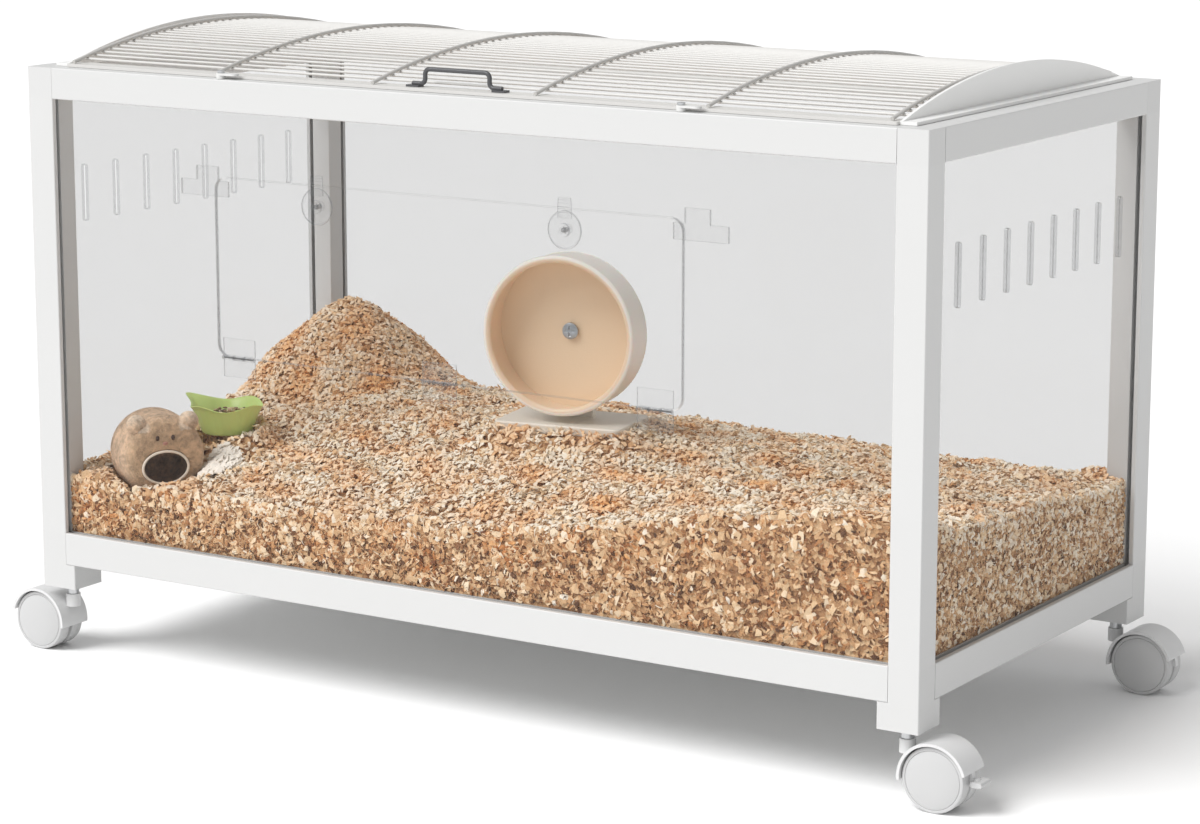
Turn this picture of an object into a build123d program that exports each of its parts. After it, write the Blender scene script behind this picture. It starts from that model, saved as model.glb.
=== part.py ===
from build123d import *
import os

# A hamster cage on casters: a white tube frame glazed with clear panels, a feeding door
# hinged at its foot in the front panel, a barrel-vaulted wire lid hinged along the back,
# four twin-wheel casters, and the furnishings that stand in the bedding.
# The origin is on the ground under the middle of the cage. X runs along its length, the
# front faces -Y and Z is up. All sizes are in millimetres.

# ---- the cage as a whole
cage_length = 1000.0
cage_depth = 486.0
frame_height = 530.0

# ---- frame tube, channels and joints
post_width = 31.0
top_rail_height = 31.0
bottom_rail_height = 33.0
foot_width = 41.5
foot_height = 25.0
tube_edge_radius = 1.2
tube_wall = 2.0
spigot_length = 25.0
spigot_clearance = 0.2

# ---- clear panels
panel_thickness = 4.0
panel_setback = 5.0
channel_depth = 8.0
channel_clearance = 0.2
channel_end_gap = 0.5
floor_thickness = 4.0
floor_ledge = 10.0
floor_clearance = 0.2

# ---- vent slots in the end panels
slot_count = 8
slot_end_margin = 42.25
slot_length = 58.5
slot_width = 6.0
slot_drop = 103.0

# ---- feeding door
door_length = 525.0
door_height = 174.0
door_corner_radius = 12.0
door_gap = 1.0
door_centre_x = -8.0
door_head_gap = 64.5
butt_hinge_spacing = 236.0
butt_hinge_width = 38.0
butt_leaf_height = 19.0
butt_leaf_thickness = 1.8
butt_knuckle_radius = 2.2
butt_pin_radius = 0.9
butt_knuckle_gap = 0.3

# ---- door latches and corner stops
latch_spacing = 279.0
latch_drop = 19.0
latch_disc_radius = 18.0
latch_disc_thickness = 2.0
latch_tab_width = 16.0
latch_tab_rise = 10.0
latch_knob_radius = 8.0
latch_knob_height = 1.6
latch_pivot_radius = 2.0
latch_cap_radius = 3.5
latch_washer_radius = 5.0
latch_cap_thickness = 0.7
stop_length = 57.0
stop_strip_height = 15.0
stop_block_length = 26.0
stop_block_height = 14.0
stop_overlap = 12.0
stop_drop = 11.5
stop_thickness = 3.0

# ---- wire lid
lid_edge_setback = 14.5
lid_bar_width = 22.0
lid_bar_thickness = 3.0
lid_bar_corner_radius = 2.0
lid_rise = 23.0
lid_foot_inset = 30.0
wire_radius = 1.3
wire_pitch = 12.0
wire_bar_gap = 0.5
rib_radius = 1.8
rib_count = 6
end_rib_inset = 8.5
rod_radius = 2.2
rod_wire_index = 6
weld_gap = 0.05
cap_inset = 36.5
cap_thickness = 3.0
cap_stand_up = 7.0
cap_flange_width = 15.0
handle_wire_radius = 2.2
handle_span = 72.0
handle_height = 16.0
handle_bend_radius = 5.0
handle_pad_length = 14.0
handle_pad_width = 9.0
handle_pad_thickness = 2.0

# ---- lid hinges and turn tabs
lid_hinge_spacing = 600.0
lid_hinge_width = 42.0
lid_knuckle_radius = 3.2
lid_pin_radius = 1.5
lid_axis_setback = 10.0
lid_axis_rise = 4.0
lid_leaf_thickness = 2.0
lid_knuckle_gap = 0.4
tab_spacing = 514.0
tab_centre_x = -5.0
tab_setback = 7.0
tab_length = 16.0
tab_width = 9.0
tab_thickness = 2.0
tab_clearance = 0.5
tab_screw_radius = 2.0
tab_screw_head_radius = 3.6
tab_screw_depth = 16.0

# ---- casters
wheel_radius = 30.0
trail_margin = 3.0
wheel_tread = 15.5
wheel_edge_radius = 2.5
wheel_gap = 4.0
spindle_radius = 4.0
spindle_length = 14.0
hood_inner_gap = 1.3
hood_wall = 2.7
hood_half_width = 19.5
hood_web = 6.0
hood_start_angle = 16.0
hood_end_angle = 186.0
hood_top_gap = 6.0
stem_radius = 4.0
stem_collar_radius = 6.0
stem_socket_depth = 28.0
stem_boss_radius = 7.5
stem_boss_length = 13.0
stem_boss_gap = 0.65
lever_pivot_gap = 5.0
lever_length = 9.0
lever_width = 18.0
lever_thickness = 5.0
lever_slot_gap = 0.4
lever_pin_radius = 1.5
lever_web_radius = 3.0

# ---- clearance of every pin and shaft, and the gap between faces that move past each other
running_clearance = 0.05
moving_gap = 0.3

# ---- bedding fill
bedding_clearance = 0.3
front_shelf_fill = 40.0
back_shelf_fill = 88.5
ramp_foot_fill = 62.0
main_fill = 116.5
mound_fill = 172.0
shelf_length = 190.0
ramp_length = 225.0
front_shelf_depth = 119.0
mound_length = 150.0
mound_depth = 190.0
mound_crest = 34.0

# ---- exercise wheel
drum_turn = 10.0
drum_past_ramp = 80.0
drum_setback = 200.0
drum_radius = 80.0
drum_wall = 4.0
drum_depth = 40.0
drum_lip = 3.0
drum_ground_gap = 8.0
disc_thickness = 3.0
hub_radius = 12.0
hub_length = 3.0
axle_radius = 4.0
axle_head_radius = 8.0
axle_head_thickness = 3.0
stand_gap = 1.5
stand_thickness = 8.0
stand_width = 40.0
base_length = 134.0
base_depth = 84.0
base_thickness = 12.0
base_overhang = 4.0
base_corner_radius = 6.0
base_edge_radius = 2.0

# ---- hideout hut
hut_turn = 55.0
hut_from_end = 96.0
hut_from_front = 67.0
hut_radius = 43.0
hut_length = 78.0
hut_wall = 8.0
hut_floor_wall = 5.0
hut_back_wall = 12.0
hut_back_fillet = 26.0
hut_front_fillet = 12.0
hut_axis_height = 40.0
hut_door_width = 48.0
hut_door_height = 33.0
hut_door_drop = 9.0
ear_radius = 9.0
ear_spread = 26.0
ear_rise = 32.0

# ---- food bowl
bowl_from_end = 122.0
bowl_from_front = 151.0
bowl_rim_radius = 37.0
bowl_foot_radius = 26.0
bowl_height = 29.0
bowl_wall = 2.5
spout_reach = 14.0
spout_width = 20.0

# ---- heights and places that follow from the sizes above
half_length = cage_length / 2
half_depth = cage_depth / 2
hood_inner = wheel_radius + hood_inner_gap
hood_outer = hood_inner + hood_wall
foot_bottom = wheel_radius + hood_outer + hood_top_gap
rail_bottom = foot_bottom + foot_height
bottom_rail_top = rail_bottom + bottom_rail_height
frame_top = foot_bottom + frame_height
top_rail_bottom = frame_top - top_rail_height
long_rail = cage_length - 2 * post_width
short_rail = cage_depth - 2 * post_width
window_height = top_rail_bottom - bottom_rail_top
channel_start = panel_setback - channel_clearance
channel_width = panel_thickness + 2 * channel_clearance
hollow_start = channel_start + channel_width + tube_wall
hollow_width = post_width - hollow_start - tube_wall
hollow_centre = hollow_start + hollow_width / 2
top_hollow_height = frame_top - tube_wall - hollow_width / 2
bottom_hollow_height = rail_bottom + tube_wall + hollow_width / 2
panel_face = half_depth - panel_setback
panel_back = panel_face - panel_thickness
panel_margin = channel_depth - channel_end_gap
corners = [(-1, -1), (1, -1), (-1, 1), (1, 1)]
corner_names = {
    (-1, -1): "front_left",
    (1, -1): "front_right",
    (-1, 1): "back_left",
    (1, 1): "back_right",
}

os.makedirs("parts", exist_ok=True)


def save(built, name):
    """Labels a finished piece and writes it under its own name."""
    built.part.label = name
    export_step(built.part, "parts/" + name + ".step")


# ======== frame: posts, rails, corner blocks and feet ========


def make_post(side_x, side_y):
    """A corner post: a square tube with one channel for each of the two panels it holds."""
    with BuildPart() as post:
        with BuildSketch(Plane.XY.offset(bottom_rail_top)):
            post_x = side_x * (half_length - post_width / 2)
            post_y = side_y * (half_depth - post_width / 2)
            with Locations((post_x, post_y)):
                RectangleRounded(post_width, post_width, tube_edge_radius)
            hollow_x = side_x * (half_length - hollow_centre)
            hollow_y = side_y * (half_depth - hollow_centre)
            with Locations((hollow_x, hollow_y)):
                Rectangle(hollow_width, hollow_width, mode=Mode.SUBTRACT)
            inner_x = side_x * (half_length - post_width + channel_depth / 2)
            inner_y = side_y * (half_depth - post_width + channel_depth / 2)
            outer_x = side_x * (half_length - channel_start - channel_width / 2)
            outer_y = side_y * (half_depth - channel_start - channel_width / 2)
            with Locations((inner_x, outer_y)):
                Rectangle(channel_depth, channel_width, mode=Mode.SUBTRACT)
            with Locations((outer_x, inner_y)):
                Rectangle(channel_width, channel_depth, mode=Mode.SUBTRACT)
        extrude(amount=window_height)
    return post


def draw_rail_section(outer, side, low, height, hollow_height, channel_height):
    """Draws a rail's section: across the rail in x, up in y. outer is its outer face."""
    with Locations((side * (outer - post_width / 2), low + height / 2)):
        RectangleRounded(post_width, height, tube_edge_radius)
    with Locations((side * (outer - hollow_centre), hollow_height)):
        Rectangle(hollow_width, hollow_width, mode=Mode.SUBTRACT)
    with Locations((side * (outer - channel_start - channel_width / 2), channel_height)):
        Rectangle(channel_width, channel_depth, mode=Mode.SUBTRACT)


def draw_floor_rebate(outer, side):
    """Draws the rebate along a bottom rail's inner top edge, which the floor drops into."""
    rebate_depth = floor_thickness + floor_clearance
    rebate_middle = outer - post_width + floor_ledge / 2
    with Locations((side * rebate_middle, bottom_rail_top - rebate_depth / 2)):
        Rectangle(floor_ledge, rebate_depth, mode=Mode.SUBTRACT)


def make_rail(along_x, side, at_top):
    """One rail, between two corner blocks or two feet. at_top rails open down, the others up."""
    outer = half_depth if along_x else half_length
    run = long_rail if along_x else short_rail
    if along_x:
        end = Plane(origin=(-run / 2, 0, 0), x_dir=(0, 1, 0), z_dir=(1, 0, 0))
    else:
        end = Plane(origin=(0, run / 2, 0), x_dir=(1, 0, 0), z_dir=(0, -1, 0))
    with BuildPart() as rail:
        with BuildSketch(end):
            if at_top:
                opening = top_rail_bottom + channel_depth / 2
                draw_rail_section(
                    outer, side, top_rail_bottom, top_rail_height, top_hollow_height, opening
                )
            else:
                opening = bottom_rail_top - channel_depth / 2
                draw_rail_section(
                    outer, side, rail_bottom, bottom_rail_height, bottom_hollow_height, opening
                )
                draw_floor_rebate(outer, side)
        extrude(amount=run)
        if at_top and along_x and side < 0:
            # blind holes for the screws of the turn tabs
            with Locations(Plane.XY.offset(frame_top)):
                with Locations(*tab_places()):
                    Hole(tab_screw_radius + running_clearance, tab_screw_depth + running_clearance)
    return rail


def tab_places():
    """Where the turn tabs are screwed to the front top rail, in plan."""
    y = -half_depth + tab_setback
    return [(tab_centre_x - tab_spacing / 2, y), (tab_centre_x + tab_spacing / 2, y)]


def add_spigots(side_x, side_y, rail_hollow_height, post_end, post_way):
    """The three spigots of a corner: one into each rail, and one into the post."""
    size = hollow_width - 2 * spigot_clearance
    inner_x = side_x * (half_length - post_width - spigot_length / 2)
    inner_y = side_y * (half_depth - post_width - spigot_length / 2)
    axis_x = side_x * (half_length - hollow_centre)
    axis_y = side_y * (half_depth - hollow_centre)
    with Locations((inner_x, axis_y, rail_hollow_height)):
        Box(spigot_length, size, size)
    with Locations((axis_x, inner_y, rail_hollow_height)):
        Box(size, spigot_length, size)
    with Locations((axis_x, axis_y, post_end + post_way * spigot_length / 2)):
        Box(size, size, spigot_length)


for side_x, side_y in corners:
    save(make_post(side_x, side_y), corner_names[(side_x, side_y)] + "_post")

for level, at_top in (("bottom", False), ("top", True)):
    save(make_rail(True, -1, at_top), "front_" + level + "_rail")
    save(make_rail(True, 1, at_top), "back_" + level + "_rail")
    save(make_rail(False, -1, at_top), "left_" + level + "_rail")
    save(make_rail(False, 1, at_top), "right_" + level + "_rail")

with BuildPart() as top_corner_blocks:
    for side_x, side_y in corners:
        block_x = side_x * (half_length - post_width / 2)
        block_y = side_y * (half_depth - post_width / 2)
        with BuildSketch(Plane.XY.offset(top_rail_bottom)):
            with Locations((block_x, block_y)):
                RectangleRounded(post_width, post_width, tube_edge_radius)
        extrude(amount=top_rail_height)
        add_spigots(side_x, side_y, top_hollow_height, top_rail_bottom, -1)
save(top_corner_blocks, "top_corner_blocks")

stem_inset = foot_width / 2
with BuildPart() as corner_feet:
    for side_x, side_y in corners:
        post_x = side_x * (half_length - post_width / 2)
        post_y = side_y * (half_depth - post_width / 2)
        stem_x = side_x * (half_length - stem_inset)
        stem_y = side_y * (half_depth - stem_inset)
        with BuildSketch(Plane.XY.offset(rail_bottom)):
            with Locations((post_x, post_y)):
                RectangleRounded(post_width, post_width, tube_edge_radius)
        extrude(amount=bottom_rail_height)
        with BuildSketch(Plane.XY.offset(foot_bottom)):
            with Locations((stem_x, stem_y)):
                RectangleRounded(foot_width, foot_width, tube_edge_radius)
        extrude(amount=foot_height)
        add_spigots(side_x, side_y, bottom_hollow_height, bottom_rail_top, 1)
        with BuildSketch(Plane.XY.offset(foot_bottom)):
            with Locations((stem_x, stem_y)):
                Circle(stem_radius + running_clearance)
        extrude(amount=stem_socket_depth + running_clearance, mode=Mode.SUBTRACT)
save(corner_feet, "corner_feet")


# ======== clear panels and floor ========


def draw_notched_panel(width, height, notch, middle):
    """A panel's outline, notched at the corners to clear the blocks and feet."""
    with Locations(middle):
        Rectangle(width + 2 * notch, height + 2 * notch)
    for side_x, side_y in corners:
        notch_x = middle[0] + side_x * (width + notch) / 2
        notch_y = middle[1] + side_y * (height + notch) / 2
        with Locations((notch_x, notch_y)):
            Rectangle(notch, notch, mode=Mode.SUBTRACT)


window_middle = (bottom_rail_top + top_rail_bottom) / 2
door_top = top_rail_bottom - door_head_gap
door_foot_height = door_top - door_height
door_middle = door_foot_height + door_height / 2
hinge_places = [door_centre_x + step * butt_hinge_spacing for step in (-1, 0, 1)]

with BuildPart() as front_panel:
    with BuildSketch(Plane.XZ.offset(panel_back)):
        draw_notched_panel(long_rail, window_height, panel_margin, (0, window_middle))
        with Locations((door_centre_x, door_middle)):
            RectangleRounded(
                door_length + 2 * door_gap,
                door_height + 2 * door_gap,
                door_corner_radius + door_gap,
                mode=Mode.SUBTRACT,
            )
    extrude(amount=panel_thickness)
save(front_panel, "front_panel")

with BuildPart() as back_panel:
    with BuildSketch(Plane.XZ.offset(-panel_face)):
        draw_notched_panel(long_rail, window_height, panel_margin, (0, window_middle))
    extrude(amount=panel_thickness)
save(back_panel, "back_panel")

end_panel_face = half_length - panel_setback
slot_height = top_rail_bottom - slot_drop
slot_pitch = (short_rail - 2 * slot_end_margin) / (slot_count - 1)
end_panel_starts = {"left_panel": -end_panel_face, "right_panel": end_panel_face - panel_thickness}
for name, start in end_panel_starts.items():
    with BuildPart() as end_panel:
        with BuildSketch(Plane.YZ.offset(start)):
            draw_notched_panel(short_rail, window_height, panel_margin, (0, window_middle))
            with Locations((0, slot_height)):
                with GridLocations(slot_pitch, 0, slot_count, 1):
                    SlotOverall(slot_length, slot_width, rotation=90, mode=Mode.SUBTRACT)
        extrude(amount=panel_thickness)
    save(end_panel, name)

floor_notch = floor_ledge - floor_clearance
with BuildPart() as floor_panel:
    with BuildSketch(Plane.XY.offset(bottom_rail_top - floor_clearance - floor_thickness)):
        draw_notched_panel(long_rail, short_rail, floor_notch, (0, 0))
    extrude(amount=floor_thickness)
save(floor_panel, "floor_panel")


# ======== feeding door, its hinges, latches and stops ========

butt_axis_y = -panel_face - butt_knuckle_gap - butt_knuckle_radius
butt_axis_z = door_foot_height - door_gap / 2
latch_height = door_top - latch_drop
latch_places = [door_centre_x - latch_spacing / 2, door_centre_x + latch_spacing / 2]

with BuildPart() as door_panel:
    with BuildSketch(Plane.XZ.offset(panel_back)):
        with Locations((door_centre_x, door_middle)):
            RectangleRounded(door_length, door_height, door_corner_radius)
        with Locations(*[(x, latch_height) for x in latch_places]):
            Circle(latch_pivot_radius + running_clearance, mode=Mode.SUBTRACT)
    extrude(amount=panel_thickness)
save(door_panel, "door_panel")


def add_butt_leaves(way, knuckle_middles):
    """The three leaves on one side of the seam. way is +1 for the door, -1 for the panel."""
    segment = butt_hinge_width / 3
    plate_start = butt_knuckle_radius + butt_knuckle_gap
    plate_height = butt_leaf_height - plate_start
    leaf_y = -panel_face - butt_leaf_thickness / 2
    for hinge_x in hinge_places:
        with Locations((hinge_x, leaf_y, butt_axis_z + way * (plate_start + plate_height / 2))):
            Box(butt_hinge_width, butt_leaf_thickness, plate_height)
        for middle in knuckle_middles:
            run = segment - butt_knuckle_gap
            knuckle_x = hinge_x + middle * segment
            with Locations((knuckle_x, leaf_y, butt_axis_z + way * plate_start / 2)):
                Box(run, butt_leaf_thickness, plate_start)
            with Locations(Location((knuckle_x, butt_axis_y, butt_axis_z), (0, 90, 0))):
                Cylinder(butt_knuckle_radius, run)
        with Locations(Location((hinge_x, butt_axis_y, butt_axis_z), (0, 90, 0))):
            Cylinder(butt_pin_radius + running_clearance, butt_hinge_width, mode=Mode.SUBTRACT)


with BuildPart() as door_hinge_door_leaves:
    add_butt_leaves(1, [0])
save(door_hinge_door_leaves, "door_hinge_door_leaves")

with BuildPart() as door_hinge_panel_leaves:
    add_butt_leaves(-1, [-1, 1])
save(door_hinge_panel_leaves, "door_hinge_panel_leaves")

with BuildPart() as door_hinge_pins:
    for hinge_x in hinge_places:
        with Locations(Location((hinge_x, butt_axis_y, butt_axis_z), (0, 90, 0))):
            Cylinder(butt_pin_radius, butt_hinge_width - butt_knuckle_gap)
save(door_hinge_pins, "door_hinge_pins")

# a stop is an L of clear plate glued behind the fixed panel, relieved behind the door
with BuildPart() as door_corner_stops:
    for side in (-1, 1):
        door_side = door_centre_x + side * door_length / 2
        strip_x = door_side + side * (stop_length / 2 - stop_overlap)
        strip_z = door_top - stop_drop
        block_x = door_side + side * (stop_block_length / 2)
        with BuildSketch(Plane.XZ.offset(panel_back - stop_thickness)):
            with Locations((strip_x, strip_z)):
                Rectangle(stop_length, stop_strip_height)
            with Locations((block_x, strip_z + stop_strip_height / 2 + stop_block_height / 2)):
                Rectangle(stop_block_length, stop_block_height)
        extrude(amount=stop_thickness)
    with BuildSketch(Plane.XZ.offset(panel_back - door_gap / 2)):
        with Locations((door_centre_x, door_middle)):
            RectangleRounded(
                door_length + 2 * door_gap,
                door_height + 2 * door_gap,
                door_corner_radius + door_gap,
            )
    extrude(amount=door_gap, mode=Mode.SUBTRACT)
save(door_corner_stops, "door_corner_stops")

latch_back = panel_face + moving_gap
latch_front = latch_back + latch_disc_thickness
knob_front = latch_front + latch_knob_height
for name, latch_x in (("left_door_latch", latch_places[0]), ("right_door_latch", latch_places[1])):
    with BuildPart() as latch:
        with BuildSketch(Plane.XZ.offset(latch_back)):
            with Locations((latch_x, latch_height)):
                Circle(latch_disc_radius)
            tab_rise = latch_drop + latch_tab_rise
            with Locations((latch_x, latch_height + tab_rise / 2)):
                Rectangle(latch_tab_width, tab_rise)
        extrude(amount=latch_disc_thickness)
        with BuildSketch(Plane.XZ.offset(latch_front)):
            with Locations((latch_x, latch_height)):
                Circle(latch_knob_radius)
        extrude(amount=latch_knob_height)
        with BuildSketch(Plane.XZ.offset(latch_back)):
            with Locations((latch_x, latch_height)):
                Circle(latch_pivot_radius + running_clearance)
        extrude(amount=knob_front - latch_back, mode=Mode.SUBTRACT)
    save(latch, name)

with BuildPart() as door_latch_pivots:
    for latch_x in latch_places:
        with BuildSketch(Plane.XZ.offset(panel_back - latch_cap_thickness)):
            with Locations((latch_x, latch_height)):
                Circle(latch_washer_radius)
        extrude(amount=latch_cap_thickness)
        with BuildSketch(Plane.XZ.offset(panel_back)):
            with Locations((latch_x, latch_height)):
                Circle(latch_pivot_radius)
        extrude(amount=knob_front + moving_gap - panel_back)
        with BuildSketch(Plane.XZ.offset(knob_front + moving_gap)):
            with Locations((latch_x, latch_height)):
                Circle(latch_cap_radius)
        extrude(amount=latch_cap_thickness)
save(door_latch_pivots, "door_latch_pivots")


# ======== wire lid ========

lid_bottom = frame_top + moving_gap
lid_bar_top = lid_bottom + lid_bar_thickness
lid_bar_y = half_depth - lid_edge_setback - lid_bar_width / 2
wire_foot = lid_bar_top + wire_radius
lid_half_chord = half_depth - lid_foot_inset
vault_radius = (lid_half_chord**2 + lid_rise**2) / (2 * lid_rise)
vault_centre_z = wire_foot + lid_rise - vault_radius
cap_offset = half_length - cap_inset
cap_inner = cap_offset - cap_thickness / 2


def vault_height(y, lift):
    """How high the vault stands at y, raised by lift along its radius."""
    return vault_centre_z + ((vault_radius + lift) ** 2 - y**2) ** 0.5


for name, side in (("lid_front_bar", -1), ("lid_back_bar", 1)):
    with BuildPart() as lid_bar:
        with Locations((0, side * lid_bar_y, lid_bottom + lid_bar_thickness / 2)):
            Box(2 * cap_inner, lid_bar_width, lid_bar_thickness)
        fillet(lid_bar.edges().filter_by(Axis.Z), lid_bar_corner_radius)
    save(lid_bar, name)

last_wire_room = lid_bar_y - lid_bar_width / 2 - wire_radius - wire_bar_gap
half_wires = int(last_wire_room / wire_pitch)
with BuildPart() as lid_wires:
    for index in range(-half_wires, half_wires + 1):
        wire_y = index * wire_pitch
        if index != rod_wire_index - half_wires:
            with Locations(Location((0, wire_y, vault_height(wire_y, 0)), (0, 90, 0))):
                Cylinder(wire_radius, 2 * cap_inner)
save(lid_wires, "lid_wires")


def add_rib(rib_x):
    """A cross rib: a round wire bent to the vault, lying on the lengthwise wires."""
    lift = wire_radius + rib_radius + weld_gap
    foot = lid_bar_top + rib_radius - vault_centre_z
    reach = ((vault_radius + lift) ** 2 - foot**2) ** 0.5
    with BuildLine(Plane.YZ.offset(rib_x)) as path:
        ThreePointArc(
            (-reach, vault_height(reach, lift)),
            (0, vault_height(0, lift)),
            (reach, vault_height(reach, lift)),
        )
    with BuildSketch(Plane(origin=path.line @ 0, z_dir=path.line % 0)) as section:
        Circle(rib_radius)
    sweep(section.sketch, path=path.line)


with BuildPart() as lid_ribs:
    first_rib = end_rib_inset - cap_offset
    rib_spacing = -2 * first_rib / (rib_count - 1)
    for index in range(rib_count):
        add_rib(first_rib + index * rib_spacing)
    rod_y = (rod_wire_index - half_wires) * wire_pitch
    with Locations(Location((0, rod_y, vault_height(rod_y, wire_radius - rod_radius)), (0, 90, 0))):
        Cylinder(rod_radius, 2 * cap_inner)
save(lid_ribs, "lid_ribs")

for name, side in (("lid_left_end_cap", -1), ("lid_right_end_cap", 1)):
    with BuildPart() as end_cap:
        with BuildSketch(Plane.YZ.offset(side * cap_offset)):
            with BuildLine():
                crown = vault_height(0, cap_stand_up)
                shoulder = lid_half_chord + lid_bar_width / 2
                Polyline(
                    (-shoulder, lid_bar_top),
                    (-shoulder, lid_bottom),
                    (shoulder, lid_bottom),
                    (shoulder, lid_bar_top),
                )
                ThreePointArc((-shoulder, lid_bar_top), (0, crown), (shoulder, lid_bar_top))
            make_face()
        extrude(amount=cap_thickness / 2, both=True)
        flange_x = side * (cap_offset + cap_flange_width / 2)
        with Locations((flange_x, 0, lid_bottom + lid_bar_thickness / 2)):
            Box(cap_flange_width, 2 * shoulder, lid_bar_thickness)
    save(end_cap, name)

handle_y = -lid_bar_y
with BuildPart() as lid_handle:
    lift = lid_bar_top + handle_pad_thickness / 2
    half_span = handle_span / 2
    reach = half_span + handle_pad_length
    top = lift + handle_height
    with BuildLine(Plane.XZ.offset(-handle_y)) as path:
        FilletPolyline(
            (-reach, lift + handle_wire_radius),
            (-half_span, lift + handle_wire_radius),
            (-half_span, top),
            (half_span, top),
            (half_span, lift + handle_wire_radius),
            (reach, lift + handle_wire_radius),
            radius=handle_bend_radius,
        )
    with BuildSketch(Plane(origin=path.line @ 0, z_dir=path.line % 0)):
        Circle(handle_wire_radius)
    sweep(path=path.line)
    for side in (-1, 1):
        pad_x = side * (half_span + handle_bend_radius + handle_pad_length / 2)
        with Locations((pad_x, handle_y, lid_bar_top + handle_pad_thickness / 2)):
            Box(handle_pad_length, handle_pad_width, handle_pad_thickness)
save(lid_handle, "lid_handle")


# ======== lid hinges along the back top rail, and turn tabs along the front one ========

lid_axis_y = half_depth - lid_axis_setback
lid_axis_z = frame_top + lid_axis_rise
lid_hinge_places = [-lid_hinge_spacing / 2, lid_hinge_spacing / 2]


def add_lid_leaves(on_lid, knuckle_middles):
    """Both hinges' leaves: on the lid's back bar, or on the rail behind the hinge line."""
    segment = lid_hinge_width / 3
    if on_lid:
        plate_low = lid_bar_top
        plate_far = lid_bar_y - lid_bar_width / 2
        plate_near = lid_axis_y - lid_knuckle_radius - lid_knuckle_gap
    else:
        plate_low = frame_top
        plate_far = half_depth - tube_edge_radius
        plate_near = lid_axis_y + lid_knuckle_radius + lid_knuckle_gap
    plate_z = plate_low + lid_leaf_thickness / 2
    for hinge_x in lid_hinge_places:
        with Locations((hinge_x, (plate_far + plate_near) / 2, plate_z)):
            Box(lid_hinge_width, abs(plate_far - plate_near), lid_leaf_thickness)
        for middle in knuckle_middles:
            run = segment - lid_knuckle_gap
            knuckle_x = hinge_x + middle * segment
            with Locations((knuckle_x, (plate_near + lid_axis_y) / 2, plate_z)):
                Box(run, abs(plate_near - lid_axis_y), lid_leaf_thickness)
            with Locations(Location((knuckle_x, lid_axis_y, lid_axis_z), (0, 90, 0))):
                Cylinder(lid_knuckle_radius, run)
        with Locations(Location((hinge_x, lid_axis_y, lid_axis_z), (0, 90, 0))):
            Cylinder(lid_pin_radius + running_clearance, lid_hinge_width, mode=Mode.SUBTRACT)


with BuildPart() as lid_hinge_lid_leaves:
    add_lid_leaves(True, [0])
save(lid_hinge_lid_leaves, "lid_hinge_lid_leaves")

with BuildPart() as lid_hinge_rail_leaves:
    add_lid_leaves(False, [-1, 1])
save(lid_hinge_rail_leaves, "lid_hinge_rail_leaves")

with BuildPart() as lid_hinge_pins:
    for hinge_x in lid_hinge_places:
        with Locations(Location((hinge_x, lid_axis_y, lid_axis_z), (0, 90, 0))):
            Cylinder(lid_pin_radius, lid_hinge_width - lid_knuckle_gap)
save(lid_hinge_pins, "lid_hinge_pins")

tab_bottom = lid_bar_top + tab_clearance
tab_boss_radius = tab_width / 2
for name, place in zip(("left_turn_tab", "right_turn_tab"), tab_places()):
    with BuildPart() as turn_tab:
        with BuildSketch(Plane.XY.offset(tab_bottom)):
            with Locations((place[0] + tab_length / 2, place[1])):
                SlotOverall(tab_length + tab_width, tab_width)
        extrude(amount=tab_thickness)
        with BuildSketch(Plane.XY.offset(frame_top + moving_gap)):
            with Locations(place):
                Circle(tab_boss_radius)
        extrude(amount=tab_bottom - frame_top - moving_gap)
        with BuildSketch(Plane.XY.offset(frame_top)):
            with Locations(place):
                Circle(tab_screw_radius + running_clearance)
        extrude(amount=tab_bottom + tab_thickness - frame_top, mode=Mode.SUBTRACT)
    save(turn_tab, name)

with BuildPart() as turn_tab_screws:
    head_bottom = tab_bottom + tab_thickness + moving_gap
    for place in tab_places():
        with BuildSketch(Plane.XY.offset(frame_top - tab_screw_depth)):
            with Locations(place):
                Circle(tab_screw_radius)
        extrude(amount=head_bottom - frame_top + tab_screw_depth)
        with BuildSketch(Plane.XY.offset(head_bottom)):
            with Locations(place):
                Circle(tab_screw_head_radius)
        extrude(amount=tab_thickness)
save(turn_tab_screws, "turn_tab_screws")


# ======== casters ========

brake_corners = [(1, -1), (-1, 1)]
caster_trail = wheel_radius + trail_margin
lever_pivot_offset = wheel_radius + lever_pivot_gap
# the boss that turns on the stem just clears the rims of the wheels
boss_rim_distance = caster_trail - stem_boss_radius
boss_clear_radius = wheel_radius + stem_boss_gap
stem_boss_bottom = wheel_radius + (boss_clear_radius**2 - boss_rim_distance**2) ** 0.5
stem_boss_top = stem_boss_bottom + stem_boss_length


def caster_stem(corner):
    """Where a caster's stem stands, in plan."""
    return corner[0] * (half_length - stem_inset), corner[1] * (half_depth - stem_inset)


with BuildPart() as caster_stems:
    for corner in corners:
        stem_x, stem_y = caster_stem(corner)
        with BuildSketch(Plane.XY.offset(stem_boss_bottom)):
            with Locations((stem_x, stem_y)):
                Circle(stem_radius)
        extrude(amount=foot_bottom + stem_socket_depth - stem_boss_bottom)
        with BuildSketch(Plane.XY.offset(stem_boss_top + moving_gap)):
            with Locations((stem_x, stem_y)):
                Circle(stem_collar_radius)
        extrude(amount=foot_bottom - stem_boss_top - moving_gap)
save(caster_stems, "caster_stems")


def polar(radius, angle):
    """The point at this radius and angle."""
    return Vector(radius, 0).rotate(Axis.Z, angle)


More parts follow.
